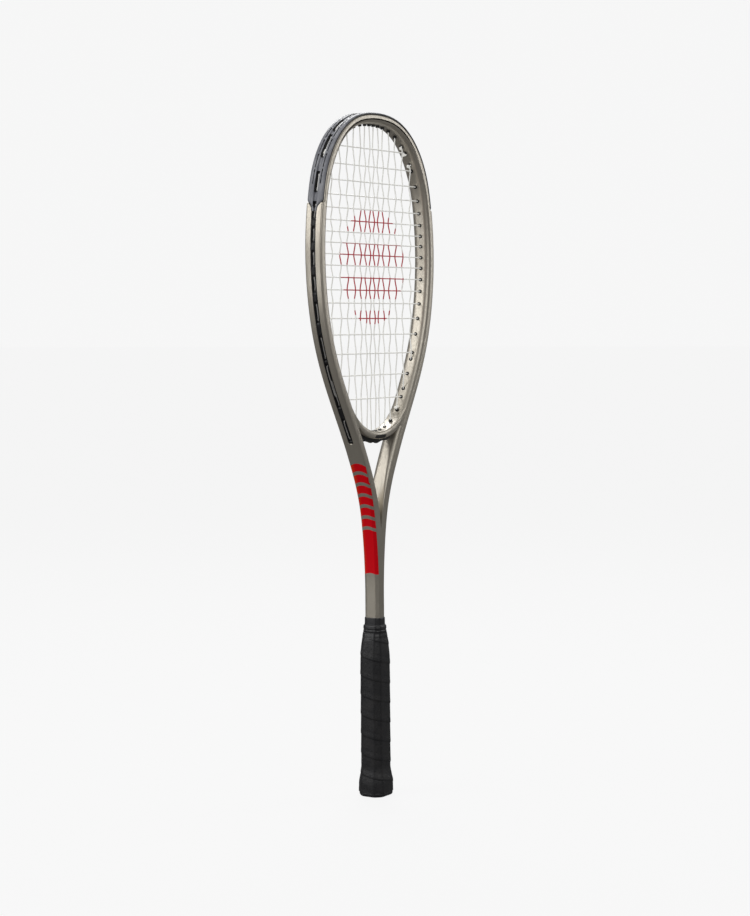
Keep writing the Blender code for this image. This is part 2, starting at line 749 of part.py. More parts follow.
def make_tape(skin):
    """Finishing tape: over the end of the wrap, then in on to the shaft."""
    bottom = TAPE_BOTTOM_Z + GAP
    step = GRIP_TOP_Z + GAP
    outer = [
        inset_ring(grip_outside(bottom), 0, bottom),
        inset_ring(grip_outside(step), 0, step + TAPE_THICKNESS),
        shaft_ring(-UNDER_TAPE, step + TAPE_THICKNESS + 0.3),
        shaft_ring(-UNDER_TAPE, TAPE_TOP_Z),
    ]
    inner = [
        inset_ring(grip_outside(bottom), TAPE_THICKNESS, bottom),
        inset_ring(grip_outside(step), TAPE_THICKNESS, step),
        shaft_ring(-GAP, step + 0.05),
        shaft_ring(-GAP, TAPE_TOP_Z),
    ]
    return new_object("grip_tape", hollow_mesh("grip_tape", outer, inner), skin)


def make_collar(skin):
    """Rubber collar: a skirt over the end of the tape and a neck round the shaft. Its origin is at its foot."""
    outer = [
        shaft_ring(-SKIRT_OUTSIDE - 0.2, COLLAR_BOTTOM_Z),
        shaft_ring(-SKIRT_OUTSIDE, COLLAR_SHOULDER_Z - 1.2),
        shaft_ring(-NECK_OUTSIDE - 0.2, COLLAR_SHOULDER_Z),
        shaft_ring(-NECK_OUTSIDE, COLLAR_TOP_Z),
    ]
    inner = [
        shaft_ring(-SKIRT_INSIDE, COLLAR_BOTTOM_Z),
        shaft_ring(-SKIRT_INSIDE, TAPE_TOP_Z + GAP),
        shaft_ring(-GAP, COLLAR_SHOULDER_Z - 1.2),
        shaft_ring(-GAP, COLLAR_TOP_Z),
    ]
    mesh = hollow_mesh("grip_collar", outer, inner, drop=COLLAR_BOTTOM_Z)
    return new_object("grip_collar", mesh, skin, location=(0, 0, COLLAR_BOTTOM_Z * MM))


def main():
    clear_scene()
    lacquer = material("satin_champagne_lacquer", (0.42, 0.39, 0.34), 0.32, 0.6)
    guard = material("slate_guard_plastic", (0.09, 0.095, 0.11), 0.45)
    black = material("black_nylon", (0.012, 0.012, 0.013), 0.4)
    string = material("natural_string", (0.80, 0.79, 0.75), 0.35)
    foam = material("handle_foam", (0.45, 0.42, 0.36), 0.8)
    cap = material("butt_cap_plastic", (0.014, 0.014, 0.015), 0.42)
    badge = material("badge_plastic", (0.16, 0.16, 0.17), 0.35)
    steel = material("staple_steel", (0.62, 0.62, 0.63), 0.3, 1.0)
    grip = material("black_grip", (0.016, 0.016, 0.018), 0.5)
    tape = material("finishing_tape", (0.02, 0.02, 0.022), 0.3)
    rubber = material("collar_rubber", (0.010, 0.010, 0.012), 0.35)

    mains, crosses = all_holes()
    holes = [hole for row in mains + crosses for hole in row[1:]]
    drills = prisms("string_hole_cutters", holes, HOLE_RADIUS, lambda hole: -1.5, lambda hole: 5.0)
    make_frame(lacquer, drills)
    make_bridge(lacquer, drills)
    make_guards(guard, black, mains, crosses)
    main_tube = string_mesh("main_string", main_route(mains, crosses), MAIN_STRING_SIDES)
    cross_tube = string_mesh("cross_string", cross_route(mains, crosses), CROSS_STRING_SIDES)
    new_object("main_string", main_tube, string)
    new_object("cross_string", cross_tube, string)
    pockets = make_staples(steel)
    make_foam(foam, pockets)
    make_cap(cap, pockets)
    disc("butt_badge", BADGE_RADIUS, BADGE_RECESS - GAP - BADGE_THICKNESS, BADGE_RECESS - GAP, badge)
    make_grip(grip)
    make_tape(tape)
    make_collar(rubber)


main()
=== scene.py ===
"""Squash racket: its visible pieces, materials, floor, light and camera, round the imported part.

X runs across the head, Y through the string bed and Z along the racket, as in the part. Shapes are worked
out in millimetres and turned into metres when a mesh is made. A place on the moulding is (s, n, y): the
length s along its outline from the crown, negative on the -X side, the distance n outside the outline, and
the height y above the plane of the strings.
"""

import math

import bmesh
import bpy
import numpy as np
from mathutils import Matrix, Vector


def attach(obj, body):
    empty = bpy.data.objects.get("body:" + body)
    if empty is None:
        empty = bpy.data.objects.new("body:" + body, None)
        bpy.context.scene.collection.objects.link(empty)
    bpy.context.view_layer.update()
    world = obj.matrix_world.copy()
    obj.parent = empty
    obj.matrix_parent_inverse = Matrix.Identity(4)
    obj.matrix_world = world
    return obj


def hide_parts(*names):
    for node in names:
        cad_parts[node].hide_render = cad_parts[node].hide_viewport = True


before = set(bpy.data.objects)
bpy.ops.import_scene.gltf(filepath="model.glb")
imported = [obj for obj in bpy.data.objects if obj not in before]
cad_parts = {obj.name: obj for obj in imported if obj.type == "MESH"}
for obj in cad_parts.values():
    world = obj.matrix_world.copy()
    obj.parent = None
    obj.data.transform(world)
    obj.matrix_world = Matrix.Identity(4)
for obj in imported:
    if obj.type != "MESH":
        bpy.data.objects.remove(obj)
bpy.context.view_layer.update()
MM = 0.001

# Outer edge of the moulding, from the crown down the +X side to the shaft
OUTLINE = (
    (0.0, 681.5), (38.6, 675.8), (70.6, 654.9), (92.0, 622.0), (101.0, 584.0), (103.7, 544.0),
    (101.1, 504.5), (93.1, 465.5), (78.9, 428.0), (60.4, 393.0), (41.0, 358.5), (24.2, 322.5),
    (14.1, 284.0), (9.1, 246.0), (7.3, 214.0), (7.3, 170.0), (7.3, 100.0), (7.3, 3.4),
)
WIDEST_Z = 544.0

# Moulded frame
RIM_THICKNESS = 11.2
CROWN_THINNER = 2.6
CROWN_THIN_Z = (628.0, 676.0)
RIM_HALF_DEPTH = 9.5
SHAFT_HALF_DEPTH = 8.5
SHAFT_BEVEL = 2.9
NOSE = (5.2, 6.0)
CORNER = 1.7
GROOVE_DEPTH = 2.4
GROOVE_HALF = 2.75
GROOVE_END_Z = 357.0
LEG_BLEND_Z = (345.0, 278.0)
CLOSE_RINGS_Z = 612.0
SHAFT_RINGS_Z = (205.0, 170.0, 120.0)

# Bridge between the legs
BRIDGE_RADIUS = 63.0
BRIDGE_CENTRE_Z = 431.2
BRIDGE_THICKNESS = 7.7
BRIDGE_HALF_DEPTH = 8.7
BRIDGE_TOP_ANGLE = math.radians(57)
BRIDGE_FILLET_ANGLE = math.radians(22)
BRIDGE_CROTCH_ANGLE = math.radians(32)
FILLET_DROP = 11.0

# Bumper guard and grommet strips, whose _SIDES count the sides of the guard's section from its middle
BUMPER_END_Z = 583.5
BUMPER_TAPER_Z = 595.0
BUMPER_RISE_Z = 592.0
BUMPER_CROWN_Z = 670.0
BUMPER_PLATE = 1.9
BUMPER_PROUD = 2.5
BUMPER_HALF_DEPTH = 9.2
TAIL_HALF_DEPTH = 2.9
TAIL_LENGTH = 2.2
STRIP_START_Z = 582.9
STRIP_HALF = 2.6
TROUGH_FLOOR = 1.65
TROUGH_RAISED = 0.35
TROUGH_HALF = 1.6
TROUGH_PAST_HOLE = 1.6
TROUGH_RAMP = 1.4
GUARD_LIFT = 1.1
SLOT_Y = 4.5
SLOT_DEPTH = 1.0
SLOT_PITCH = 17.0
SLOT_LENGTH = 14.8
SLOT_END_Z = 609.0
# The channel, slot and flank sides of the guard's section are painted black as shade
CHANNEL_SIDES = 3
SLOT_SIDES = (6, 7, 8)
FLANK_SIDES = (13, 14)
GUARD_WIDEST = 14
BARREL_RADIUS = 2.0
BORE_RADIUS = 1.0
BED_GAP = 0.3
THROAT_STRIP_ANGLE = math.radians(23)
THROAT_STRIP_HEIGHT = 4.2
THROAT_PLATE = 1.3
SCALLOP_PITCH = 16.4
BRIDGE_FLOOR = BRIDGE_THICKNESS + THROAT_PLATE

# Strings
STRING_RADIUS = 0.62
STRING_SIDES = 10
STRING_N = STRING_RADIUS - TROUGH_FLOOR
MAIN_OFFSETS = (3.7, 11.7, 20.7, 31.6, 43.8, 56.5, 71.4)
CROSS_HEIGHTS = (
    648.6, 631.2, 615.5, 601.2, 588.5, 576.5, 565.3, 554.7, 543.5,
    532.6, 520.9, 508.8, 496.0, 480.9, 465.0, 446.0, 424.6, 401.2,
)
MAIN_WAVE = 0.88
CROSS_WAVE = 0.38
LOOP_OFFSET = 0.75
LOOP_LEAD = 3.0
TAIL = 5.0
CORNER_HOLES = {43.8: (388.6, 380.0), 31.6: (378.2, 361.6)}
BRIDGE_MAINS = (3.7, 11.7, 20.7)
STRING_CORNER = 1.3

# Tie-off knots: the string's number, its end (1 upper or -X, 2 lower or +X) and the knot's turn
MAIN_KNOTS = ((12, 1, 0.3), (13, 1, 1.4), (11, 2, 0.9))
CROSS_KNOTS = ((0, 2, 2.5),)
KNOT_RADIUS = 0.55
KNOT_REACH = 2.6

# Handle, each size a half width along X and Y
SHAFT_HALF = (7.3, 8.5)
SHAFT_SIZE = (*SHAFT_HALF, SHAFT_BEVEL)
GRIP_HALF = (13.6, 12.1)
GRIP_BEVEL = 5.0
FLARE_HALF = (16.6, 15.1)
FLARE_BEVEL = 7.0
GRIP_START_Z = 4.4
GRIP_TOP_Z = 160.0
FLARE_Z = 12.0
FLARE_TOP_Z = 31.0
TAPER_START_Z = 137.0
TAPER_END_Z = 181.0
TAPER_POWER = 1.8
WRAP_PITCH = 19.9
WRAP_STEP = 0.38
WRAP_FULLER = 0.6
WRAP_EDGE_TURN = 0.53
TAPE_BOTTOM_Z = 158.0
TAPE_RIDGES_Z = 166.0
TAPE_RIDGE_PITCH = 4.0
TAPE_TOP_Z = 171.0
COLLAR_BOTTOM_Z = 166.3
COLLAR_SHOULDER_Z = 173.6
COLLAR_TOP_Z = 181.0

# Paint
CHAMPAGNE = (0.52, 0.475, 0.40)
BRONZE = (0.42, 0.385, 0.32)
METAL = 0.7
RED = (0.86, 0.002, 0.010)
CRIMSON = (0.36, 0.002, 0.014)
# The strings glow in their own colour: painted light that lightens them where they lie in shade
STRING_PAINTED_GLOW = 0.36
STENCIL_Z = 533.0
STENCIL_RADIUS = 58.0
STRIPE_PITCH = 33.0
BAR_TOP_Z = 337.5
BAR_PITCH = 11.2
BAR_SHARE = 0.68
BARS_END_Z = 226.0
LOZENGE_Z = 363.0
LOZENGE_HALF = (9.5, 1.9)
LOZENGE_LEAN = 0.7
BARS_ABOVE_BLOCK = 6

# Small holes in the grip: how many round it, and their steps along it and across it
HOLES_ROUND = 20
HOLE_STEP = 3.98
HOLE_ACROSS = 4.1
HOLE_SKEW = 5

# Studio: how bright the backdrop and the floor are seen, and how much they light the racket
BACKDROP = 0.925
FLOOR_SEEN = 0.885
SKY_LIGHT = (0.10, 0.42)
FLOOR_LIGHT = 0.10
FLOOR_HALF = 40.0

# Lights in metres and watts: name, place, height aimed at, width and height, power
LIGHTS = (
    ("left", (-1.9, 1.25, 1.65), 0.6, (1.4, 1.9), 19.0),
    ("left_low", (-2.0, 1.1, 0.25), 0.25, (0.9, 0.4), 2.4),
    ("right", (1.9, -1.3, 1.3), 0.5, (0.7, 1.8), 8.0),
    ("back", (1.4, 1.0, 1.9), 0.5, (1.5, 0.9), 18.0),
    ("fill", (-1.4, -2.0, 1.3), 0.4, (1.6, 1.6), 12.0),
    ("top", (-0.3, 0.2, 2.5), 0.5, (1.4, 1.4), 8.0),
)

# Camera: place in metres, lens in millimetres, and turns round Z, downwards and round its own axis
CAMERA_PLACE = (-1.73858, -1.13075, 0.47236)
CAMERA_TURNS = (-57.0, 3.615, -0.439)
CAMERA_LENS = 81.48
SENSOR_WIDTH = 36.0


# ---- curves

def lengths_along(points):
    return np.r_[0, np.cumsum(np.hypot(*np.diff(points, axis=0).T))]


def smooth_curve(points, spacing):
    """Points of a natural cubic spline through the given ones, by chord length, about spacing apart."""
    known = np.array(points)
    t = lengths_along(known)
    h = np.diff(t)
    rows = np.eye(len(t))
    right = np.zeros_like(known)
    for i in range(1, len(t) - 1):
        rows[i, i - 1:i + 2] = h[i - 1], 2 * (h[i - 1] + h[i]), h[i]
        right[i] = 6 * ((known[i + 1] - known[i]) / h[i] - (known[i] - known[i - 1]) / h[i - 1])
    bend = np.linalg.solve(rows, right)
    at = np.linspace(0, t[-1], int(t[-1] / spacing) + 1)
    k = np.clip(np.searchsorted(t, at, side="right") - 1, 0, len(h) - 1)
    a = ((t[k + 1] - at) / h[k])[:, None]
    b = 1 - a
    width = (h[k] ** 2 / 6)[:, None]
    return a * known[k] + b * known[k + 1] + ((a**3 - a) * bend[k] + (b**3 - b) * bend[k + 1]) * width


def trace_outline():
    """Arc length, point and outward normal along the +X half of the outline."""
    mirrored = [(-x, z) for x, z in OUTLINE[:0:-1]]
    both = smooth_curve(mirrored + list(OUTLINE), 0.25)
    half = both[both[:, 0] >= 0]
    half = np.vstack([[0.0, OUTLINE[0][1]], half[half[:, 0] > 0.01]])
    step = np.gradient(half, axis=0)
    step[0] = (1, 0)
    normal = np.c_[-step[:, 1], step[:, 0]]
    normal /= np.linalg.norm(normal, axis=1)[:, None]
    return lengths_along(half), half, normal


LENGTH_ALONG, EDGE, NORMAL = trace_outline()
OUTLINE_END = LENGTH_ALONG[-1]


def s_at_z(z):
    return float(np.interp(-z, -EDGE[:, 1], LENGTH_ALONG))


def rim_normal(s):
    nx, nz = (np.interp(abs(s), LENGTH_ALONG, NORMAL[:, k]) for k in (0, 1))
    return np.array([math.copysign(nx, s) if s else 0.0, nz])


def rim(s, n=0.0):
    """(x, z) at length s along the outline and n outside it."""
    x, z = (np.interp(abs(s), LENGTH_ALONG, EDGE[:, k]) for k in (0, 1))
    return np.array([-x if s < 0 else x, z]) + n * rim_normal(s)


def arc(s, n=0.0):
    """(x, z) at length s along the bridge's upper side and n below it."""
    angle = s / BRIDGE_RADIUS
    reach = BRIDGE_RADIUS + n
    return np.array([reach * math.sin(angle), BRIDGE_CENTRE_Z - reach * math.cos(angle)])


def ease(value, start, end):
    """0 at start and 1 at end, smoothly, whichever is the larger."""
    t = min(max((value - start) / (end - start), 0.0), 1.0)
    return t * t * (3 - 2 * t)


def height(s):
    return rim(s)[1]


def proud(s):
    return BUMPER_PROUD * ease(height(s), BUMPER_RISE_Z, BUMPER_CROWN_Z)


def face_n(s):
    """The moulding's face under the strings: on the outline, but set back under the bumper guard."""
    if height(s) < BUMPER_END_Z:
        return 0.0
    return proud(s) - BUMPER_PLATE - BED_GAP


def guard_lift(s):
    """How much higher the channel lies in the guard than in the side strips."""
    return GUARD_LIFT * ease(height(s), BUMPER_END_Z + 1.0, BUMPER_TAPER_Z)


def rim_depth(s):
    """The moulding's thickness in the plane of the strings, which is less at the crown."""
    return RIM_THICKNESS - CROWN_THINNER * ease(height(s), *CROWN_THIN_Z)


def string_n(s):
    """Centre of a string that lies in the channel."""
    return face_n(s) + STRING_N + guard_lift(s)


def guard_width(s):
    """Half depth of the bumper guard: its ends narrow like a fish's tail."""
    narrow = ease(height(s), BUMPER_TAPER_Z, BUMPER_END_Z + TAIL_LENGTH)
    return BUMPER_HALF_DEPTH + (TAIL_HALF_DEPTH - BUMPER_HALF_DEPTH) * narrow


def spread(start, end, spacing):
    count = max(int(math.ceil(abs(end - start) / spacing)), 1)
    return [start + (end - start) * k / count for k in range(count + 1)]


def corner(centre, size, start, end, count=6):
    """Points of an elliptical corner between two angles in degrees."""
    turns = [math.radians(start + (end - start) * k / (count - 1)) for k in range(count)]
    return [(centre[0] + size[0] * math.cos(t), centre[1] + size[1] * math.sin(t)) for t in turns]


def both_halves(half):
    """A whole section from the half of it at y >= 0, which starts and ends in the middle."""
    return half + [(n, -y) for n, y in reversed(half[1:-1])]


# ---- meshes

def place(section, s, along=rim):
    """A ring of 3-D points from a section of (n, y) pairs."""
    return [(*along(s, n)[:1], y, along(s, n)[1]) for n, y in section]


def skin(rings, capped=True):
    """Points and faces of a skin over rings of points."""
    sides = len(rings[0])
    points = [point for ring in rings for point in ring]
    faces = []
    for low in range(0, (len(rings) - 1) * sides, sides):
        for i in range(sides):
            j = (i + 1) % sides
            faces.append((low + i, low + j, low + sides + j, low + sides + i))
    if capped:
        faces.append(tuple(range(sides))[::-1])
        faces.append(tuple(range(len(points) - sides, len(points))))
    return points, faces


def joined(parts):
    points, faces = [], []
    for more, more_faces in parts:
        base = len(points)
        points += list(more)
        faces += [tuple(base + i for i in face) for face in more_faces]
    return points, faces


def linked(name, data):
    obj = bpy.data.objects.new(name, data)
    bpy.context.scene.collection.objects.link(obj)
    return obj


def piece(name, shape, look, nodes=(), body="racket", sharp=32):
    """A piece of the racket from (points, faces) in millimetres, riding on a body."""
    points, faces = shape
    mesh = bpy.data.meshes.new(name)
    mesh.from_pydata([tuple(float(c) * MM for c in point) for point in points], [], faces)
    mesh.update()
    outward(mesh)
    mesh.shade_smooth()
    mesh.set_sharp_from_angle(angle=math.radians(sharp))
    mesh.materials.append(look)
    obj = linked(name, mesh)
    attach(obj, body)
    if nodes:
        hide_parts(*nodes)
    return obj


def outward(mesh):
    work = bmesh.new()
    work.from_mesh(mesh)
    bmesh.ops.recalc_face_normals(work, faces=work.faces)
    work.to_mesh(mesh)
    work.free()


def tube(path, radius, sides=STRING_SIDES):
    """A round tube along a path of points."""
    path = np.array(path, float)
    ways = np.gradient(path, axis=0)
    ways /= np.linalg.norm(ways, axis=1)[:, None]
    side = np.cross(ways[0], (0.36, 0.8, 0.48))
    turns = np.arange(sides) * 2 * math.pi / sides
    rings = []
    for point, way in zip(path, ways):
        side = side - way * (side @ way)
        side /= np.linalg.norm(side)
        up = np.cross(way, side)
        rings.append(point + radius * (np.cos(turns)[:, None] * side + np.sin(turns)[:, None] * up))
    return skin([[tuple(p) for p in ring] for ring in rings])


def rounded(path, radius):
    """The path with its sharp corners turned on a radius."""
    made = [path[0]]
    for before, at, after in zip(path, path[1:], path[2:]):
        before, at, after = (np.array(p, float) for p in (before, at, after))
        come, go = at - before, after - at
        come_length, go_length = np.linalg.norm(come), np.linalg.norm(go)
        if come_length < 1e-6 or go_length < 1e-6:
            continue
        if come @ go > 0.85 * come_length * go_length:
            made.append(at)
            continue
        start = at - come / come_length * min(radius, 0.45 * come_length)
        end = at + go / go_length * min(radius, 0.45 * go_length)
        for t in (0.0, 0.25, 0.5, 0.75, 1.0):
            made.append(start * (1 - t) ** 2 + 2 * at * t * (1 - t) + end * t * t)
    made.append(path[-1])
    return made


# ---- string holes and routes

class Hole:
    """A string hole: from its end in the bed along a straight line to the string's seat in the groove."""

    def __init__(self, bed, seat, s, along):
        self.bed = np.array(bed, float)
        self.seat = np.array(seat, float)
        self.s = s
        self.along = along
        self.way = (self.seat - self.bed) / np.linalg.norm(self.seat - self.bed)

    def barrel(self, stands):
        """The end of a grommet barrel, standing out of the moulding's inner face round the string."""
        across = np.array([-self.way[1], self.way[0]])
        profile = (
            (2.5, BARREL_RADIUS), (0.0, BARREL_RADIUS), (-stands + 0.35, BARREL_RADIUS - 0.1),
            (-stands, BARREL_RADIUS - 0.4), (-stands, BORE_RADIUS + 0.15), (-stands + 0.2, BORE_RADIUS),
            (0.5 - 0.3 * stands, BORE_RADIUS - 0.1),
        )
        rings = []
        for reach, radius in profile:
            x, z = self.bed + (reach + BED_GAP) * self.way
            turns = [math.pi * k / 8 for k in range(16)]
            sides = [(radius * math.cos(turn), radius * math.sin(turn)) for turn in turns]
            rings.append([(x + across[0] * side, y, z + across[1] * side) for side, y in sides])
        return skin(rings)


def rim_hole(low, high, axis, value):
    """The hole between heights low and high whose bed end has this x (axis 0) or z (axis 1)."""
    lengths = np.linspace(s_at_z(high), s_at_z(low), 600)
    ends = np.array([rim(s, -rim_depth(s) - BED_GAP)[axis] for s in lengths])
    order = np.argsort(ends)
    s = float(np.interp(value, ends[order], lengths[order]))
    return Hole(rim(s, -rim_depth(s) - BED_GAP), rim(s, string_n(s)), s, rim)


def mirrored_hole(hole):
    flip = np.array([-1, 1])
    return Hole(hole.bed * flip, hole.seat * flip, -hole.s, hole.along)


def main_holes(x):
    """Upper and lower hole of the main string at x > 0."""
    top = rim_hole(WIDEST_Z, OUTLINE[0][1], 0, x)
    if x in BRIDGE_MAINS:
        s = BRIDGE_RADIUS * math.asin(x / (BRIDGE_RADIUS - BED_GAP))
        return top, Hole(arc(s, -BED_GAP), arc(s, BRIDGE_FLOOR + STRING_RADIUS), s, arc)
    if x in CORNER_HOLES:
        bed_z, seat_z = CORNER_HOLES[x]
        s = s_at_z(seat_z)
        return top, Hole((x, bed_z), rim(s, STRING_N), s, rim)
    return top, rim_hole(380, WIDEST_Z, 0, x)


def all_holes():
    """(x, upper, lower hole) of each main from -X, and (z, -X, +X hole) of each cross from the crown."""
    mains = []
    for x in MAIN_OFFSETS:
        top, bottom = main_holes(x)
        mains.append((x, top, bottom))
        mains.append((-x, mirrored_hole(top), mirrored_hole(bottom)))
    mains.sort(key=lambda main: main[0])
    crosses = []
    for z in CROSS_HEIGHTS:
        hole = rim_hole(360, OUTLINE[0][1], 1, z)
        crosses.append((z, mirrored_hole(hole), hole))
    return mains, crosses


MAINS, CROSSES = all_holes()


def bed_line(index, start, end, others, along, wave):
    """A string's way over and under the others across the bed, along X (along 0) or Z (along 1)."""
    fixed = start.bed[1 - along]
    low, high = sorted((start.bed[along], end.bed[along]))
    bends = [(start.bed[along], 0.0)]
    for k, (at, first, last) in enumerate(others):
        span = sorted((first.bed[1 - along], last.bed[1 - along]))
        if low < at < high and span[0] < fixed < span[1]:
            bends.append((at, wave * (-1) ** (index + k)))
    bends.append((end.bed[along], 0.0))
    bends.sort(reverse=bool(start.bed[along] > end.bed[along]))
    points = []
    for (at, y), (to, next_y) in zip(bends, bends[1:]):
        for t in np.linspace(0, 1, 6)[:-1]:
            bent = (1 - math.cos(math.pi * t)) / 2
            points.append((at + (to - at) * t, y + (next_y - y) * bent))
    points.append(bends[-1])
    return [(fixed, y, at) if along else (at, y, fixed) for at, y in points]


def loop_n(s):
    """Centre of a looped string: it rises early at the guard's end, so that it clears the strip beyond."""
    ahead = s + math.copysign(LOOP_LEAD, s)
    return max(string_n(s), string_n(ahead))


def loop(first, last, side):
    """The string's way along the channel from one hole to the next, on one side of it."""
    run = last.s - first.s
    lead = math.copysign(min(LOOP_LEAD, 0.3 * abs(run)), run)
    points = []
    for s in spread(first.s + lead, last.s - lead, 4):
        n = BRIDGE_FLOOR + STRING_RADIUS if first.along is arc else loop_n(s)
        x, z = first.along(s, n)
        points.append((x, side * LOOP_OFFSET, z))
    return points


def tail(hole, side, way):
    """The string's free end, which lies in the channel past its last hole."""
    s = hole.s + way * TAIL
    x, z = rim(s, string_n(s))
    return [(x, side * LOOP_OFFSET, z)]


def row_ends(rows, first_end):
    """(start, end) holes of each row of a string, which goes back and forth."""
    ends = [(row[1 + first_end], row[2 - first_end]) for row in rows]
    return [pair[::-1] if index % 2 else pair for index, pair in enumerate(ends)]


def route(rows, others, along, wave, side, first_end):
    """The whole way of a string: across the bed, out through a hole, along the channel and back in."""
    ends = row_ends(rows, first_end)
    path = tail(ends[0][0], side, -1)
    for index, (start, end) in enumerate(ends):
        path.append((start.seat[0], 0.0, start.seat[1]))
        path += bed_line(index, start, end, others, along, wave)
        path.append((end.seat[0], 0.0, end.seat[1]))
        if index + 1 < len(ends):
            path += loop(end, ends[index + 1][0], side)
    return rounded(path + tail(end, side, 1), STRING_CORNER)


def knot(centre, way, turn):
    """A tie-off knot: a small closed loop that winds round the string, with its cut end."""
    centre = np.array(centre, float)
    way = np.array(way, float) / np.linalg.norm(way)
    side = np.cross(way, (0.0, 1.0, 0.0))
    side /= np.linalg.norm(side)
    up = np.cross(way, side)
    path = []
    for t in np.linspace(0, 2 * math.pi, 40):
        reach = 0.95 + 0.45 * math.cos(3 * t)
        path.append(
            centre + side * reach * math.cos(2 * t + turn) + up * reach * math.sin(2 * t + turn)
            + way * 0.75 * math.sin(3 * t)
        )
    end = [path[-1] + (side * 0.5 + up * 0.8 + way * 0.4) * k for k in (0.5, 1.2, 2.0)]
    return tube(path + end, KNOT_RADIUS, 8)


def tie_offs(rows, ends):
    """The knots at the bed ends of holes, given as (row, end, turn)."""
    made = []
    for row, end, turn in ends:
        hole = rows[row][end]
        x, z = hole.bed - hole.way * KNOT_REACH
        made.append(knot((x, 0.0, z), (hole.way[0], 0.0, hole.way[1]), turn))
    return made


def string_loops(rows, first_end):
    """The stretches (low s, high s) of the channel that a string runs along."""
    ends = row_ends(rows, first_end)
    turns = [(end, start) for (_, end), (start, _) in zip(ends, ends[1:])]
    return [tuple(sorted((end.s, start.s))) for end, start in turns if end.along is rim]


STRUNG = string_loops(MAINS, 0) + string_loops(CROSSES, 1)


def floor_n(s):
    """The channel's floor below the face: low where a string runs, raised to a web between."""
    past = TROUGH_PAST_HOLE
    inside = max(min(s - low + past, high + past - s) for low, high in STRUNG)
    return -TROUGH_FLOOR + (TROUGH_FLOOR - TROUGH_RAISED) * ease(-inside, 0.0, TROUGH_RAMP)


# ---- frame

def outer_corner(face, deep, merge):
    """The moulding's outer corner: rounded on the head, a bevel with soft edges on the shaft."""
    round_one = corner((face - CORNER, deep - CORNER), (CORNER, CORNER), 90, 0)
    b = SHAFT_BEVEL
    bevel = [
        (face - b - 0.5, deep), (face - b + 0.1, deep - 0.12), (face - 0.66 * b, deep - 0.34 * b),
        (face - 0.34 * b, deep - 0.66 * b), (face - 0.12, deep - b + 0.1), (face, deep - b - 0.5),
    ]
    return [
        (p[0] + (q[0] - p[0]) * merge, p[1] + (q[1] - p[1]) * merge) for p, q in zip(round_one, bevel)
    ]


def frame_section(s):
    """Section of the moulding: a rounded nose, flat faces, and the groove or the guard's seat outside."""
    z = height(s)
    merge = ease(z, *LEG_BLEND_Z)
    deep = RIM_HALF_DEPTH + (SHAFT_HALF_DEPTH - RIM_HALF_DEPTH) * merge
    to_middle = abs(rim(s)[0]) / max(abs(rim_normal(s)[0]), 1e-6)
    thick = rim_depth(s) if z > WIDEST_Z else min(RIM_THICKNESS + 0.6 * merge, to_middle)
    nose = [size * (1 - merge) + 0.02 for size in NOSE]
    seat = face_n(s) if z > BUMPER_END_Z else 0.0
    wide = guard_width(s) + 0.2 if z > BUMPER_END_Z else 3.0
    under = ease(wide, RIM_HALF_DEPTH - 2.6, RIM_HALF_DEPTH - 1.2)
    face = seat * under
    flat_to = deep - CORNER - 0.1 - (SHAFT_BEVEL - CORNER + 0.5) * merge
    step = min(wide, flat_to - 0.45)
    groove = GROOVE_DEPTH * ease(z, GROOVE_END_Z - 0.2, GROOVE_END_Z + 1.6)
    half_groove = GROOVE_HALF * ease(z, GROOVE_END_Z - 1.2, GROOVE_END_Z + 1.6) + 0.02
    half = [(-thick, 0.0), (-thick, (deep - nose[1]) * 0.5)]
    half += corner((nose[0] - thick, deep - nose[1]), nose, 180, 90, 9)
    half += [(-thick + (thick - 3) * 0.7, deep)]
    half += outer_corner(face, deep, merge)
    half += [
        (face, step + 0.4), (face + (seat - face) * 0.9, step + 0.12), (seat, step),
        (seat, min(half_groove + 0.35, step - 0.02)),
        (seat - min(0.3, groove), min(half_groove, step - 0.04)),
        (seat - groove, max(half_groove - 0.15, 0.01)), (seat - groove, 0.0),
    ]
    return both_halves(half)


def frame_skin():
    """The whole moulding: its +X half, and that half mirrored on the same points at X = 0."""
    close, guard_end, groove_end = (s_at_z(z) for z in (CLOSE_RINGS_Z, BUMPER_END_Z, GROOVE_END_Z))
    shaft, *lower = (s_at_z(z) for z in SHAFT_RINGS_Z)
    places = spread(0, close, 2.5) + spread(close + 1, guard_end - 0.05, 0.8)
    places += spread(guard_end + 0.05, groove_end - 4, 2.5)
    places += spread(groove_end - 3.5, groove_end + 2, 0.4) + spread(groove_end + 4, shaft, 2.5)
    places += lower + [OUTLINE_END]
    half, faces = skin([place(frame_section(s), s) for s in places], capped=False)
    half = [(0.0 if abs(x) < 0.03 else x, y, z) for x, y, z in half]
    sides = len(half) // len(places)
    faces = [face for face in faces if any(half[i][0] for i in face)]
    faces.append(tuple(range(len(half) - sides, len(half))))
    own = {i: len(half) + k for k, i in enumerate(i for i, p in enumerate(half) if p[0])}
    mirrored = [(-half[i][0], *half[i][1:]) for i in own]
    other = [tuple(own.get(i, i) for i in reversed(face)) for face in faces]
    return half + mirrored, faces + other


def bridge_lines():
    """The bridge's upper and lower edges in the XZ plane, from X = 0 into the +X leg."""
    upper = [arc(s) for s in spread(0, BRIDGE_TOP_ANGLE * BRIDGE_RADIUS, 1.6)]
    start = BRIDGE_FILLET_ANGLE * BRIDGE_RADIUS
    lower = [arc(s, BRIDGE_THICKNESS) for s in spread(0, start, 1.6)]
    crotch = arc(BRIDGE_CROTCH_ANGLE * BRIDGE_RADIUS, BRIDGE_THICKNESS)
    leg_s = s_at_z(crotch[1]) + FILLET_DROP
    foot = rim(leg_s - 7.0, -RIM_THICKNESS + 0.05)
    begin = lower[-1]
    for t in np.linspace(0, 1, 9)[1:]:
        lower.append(begin * (1 - t) ** 2 + 2 * crotch * t * (1 - t) + foot * t * t)
    lower.append(rim(leg_s - 6.0, -RIM_THICKNESS + 3.0))
    return resampled(upper, 48), resampled(lower, 48)


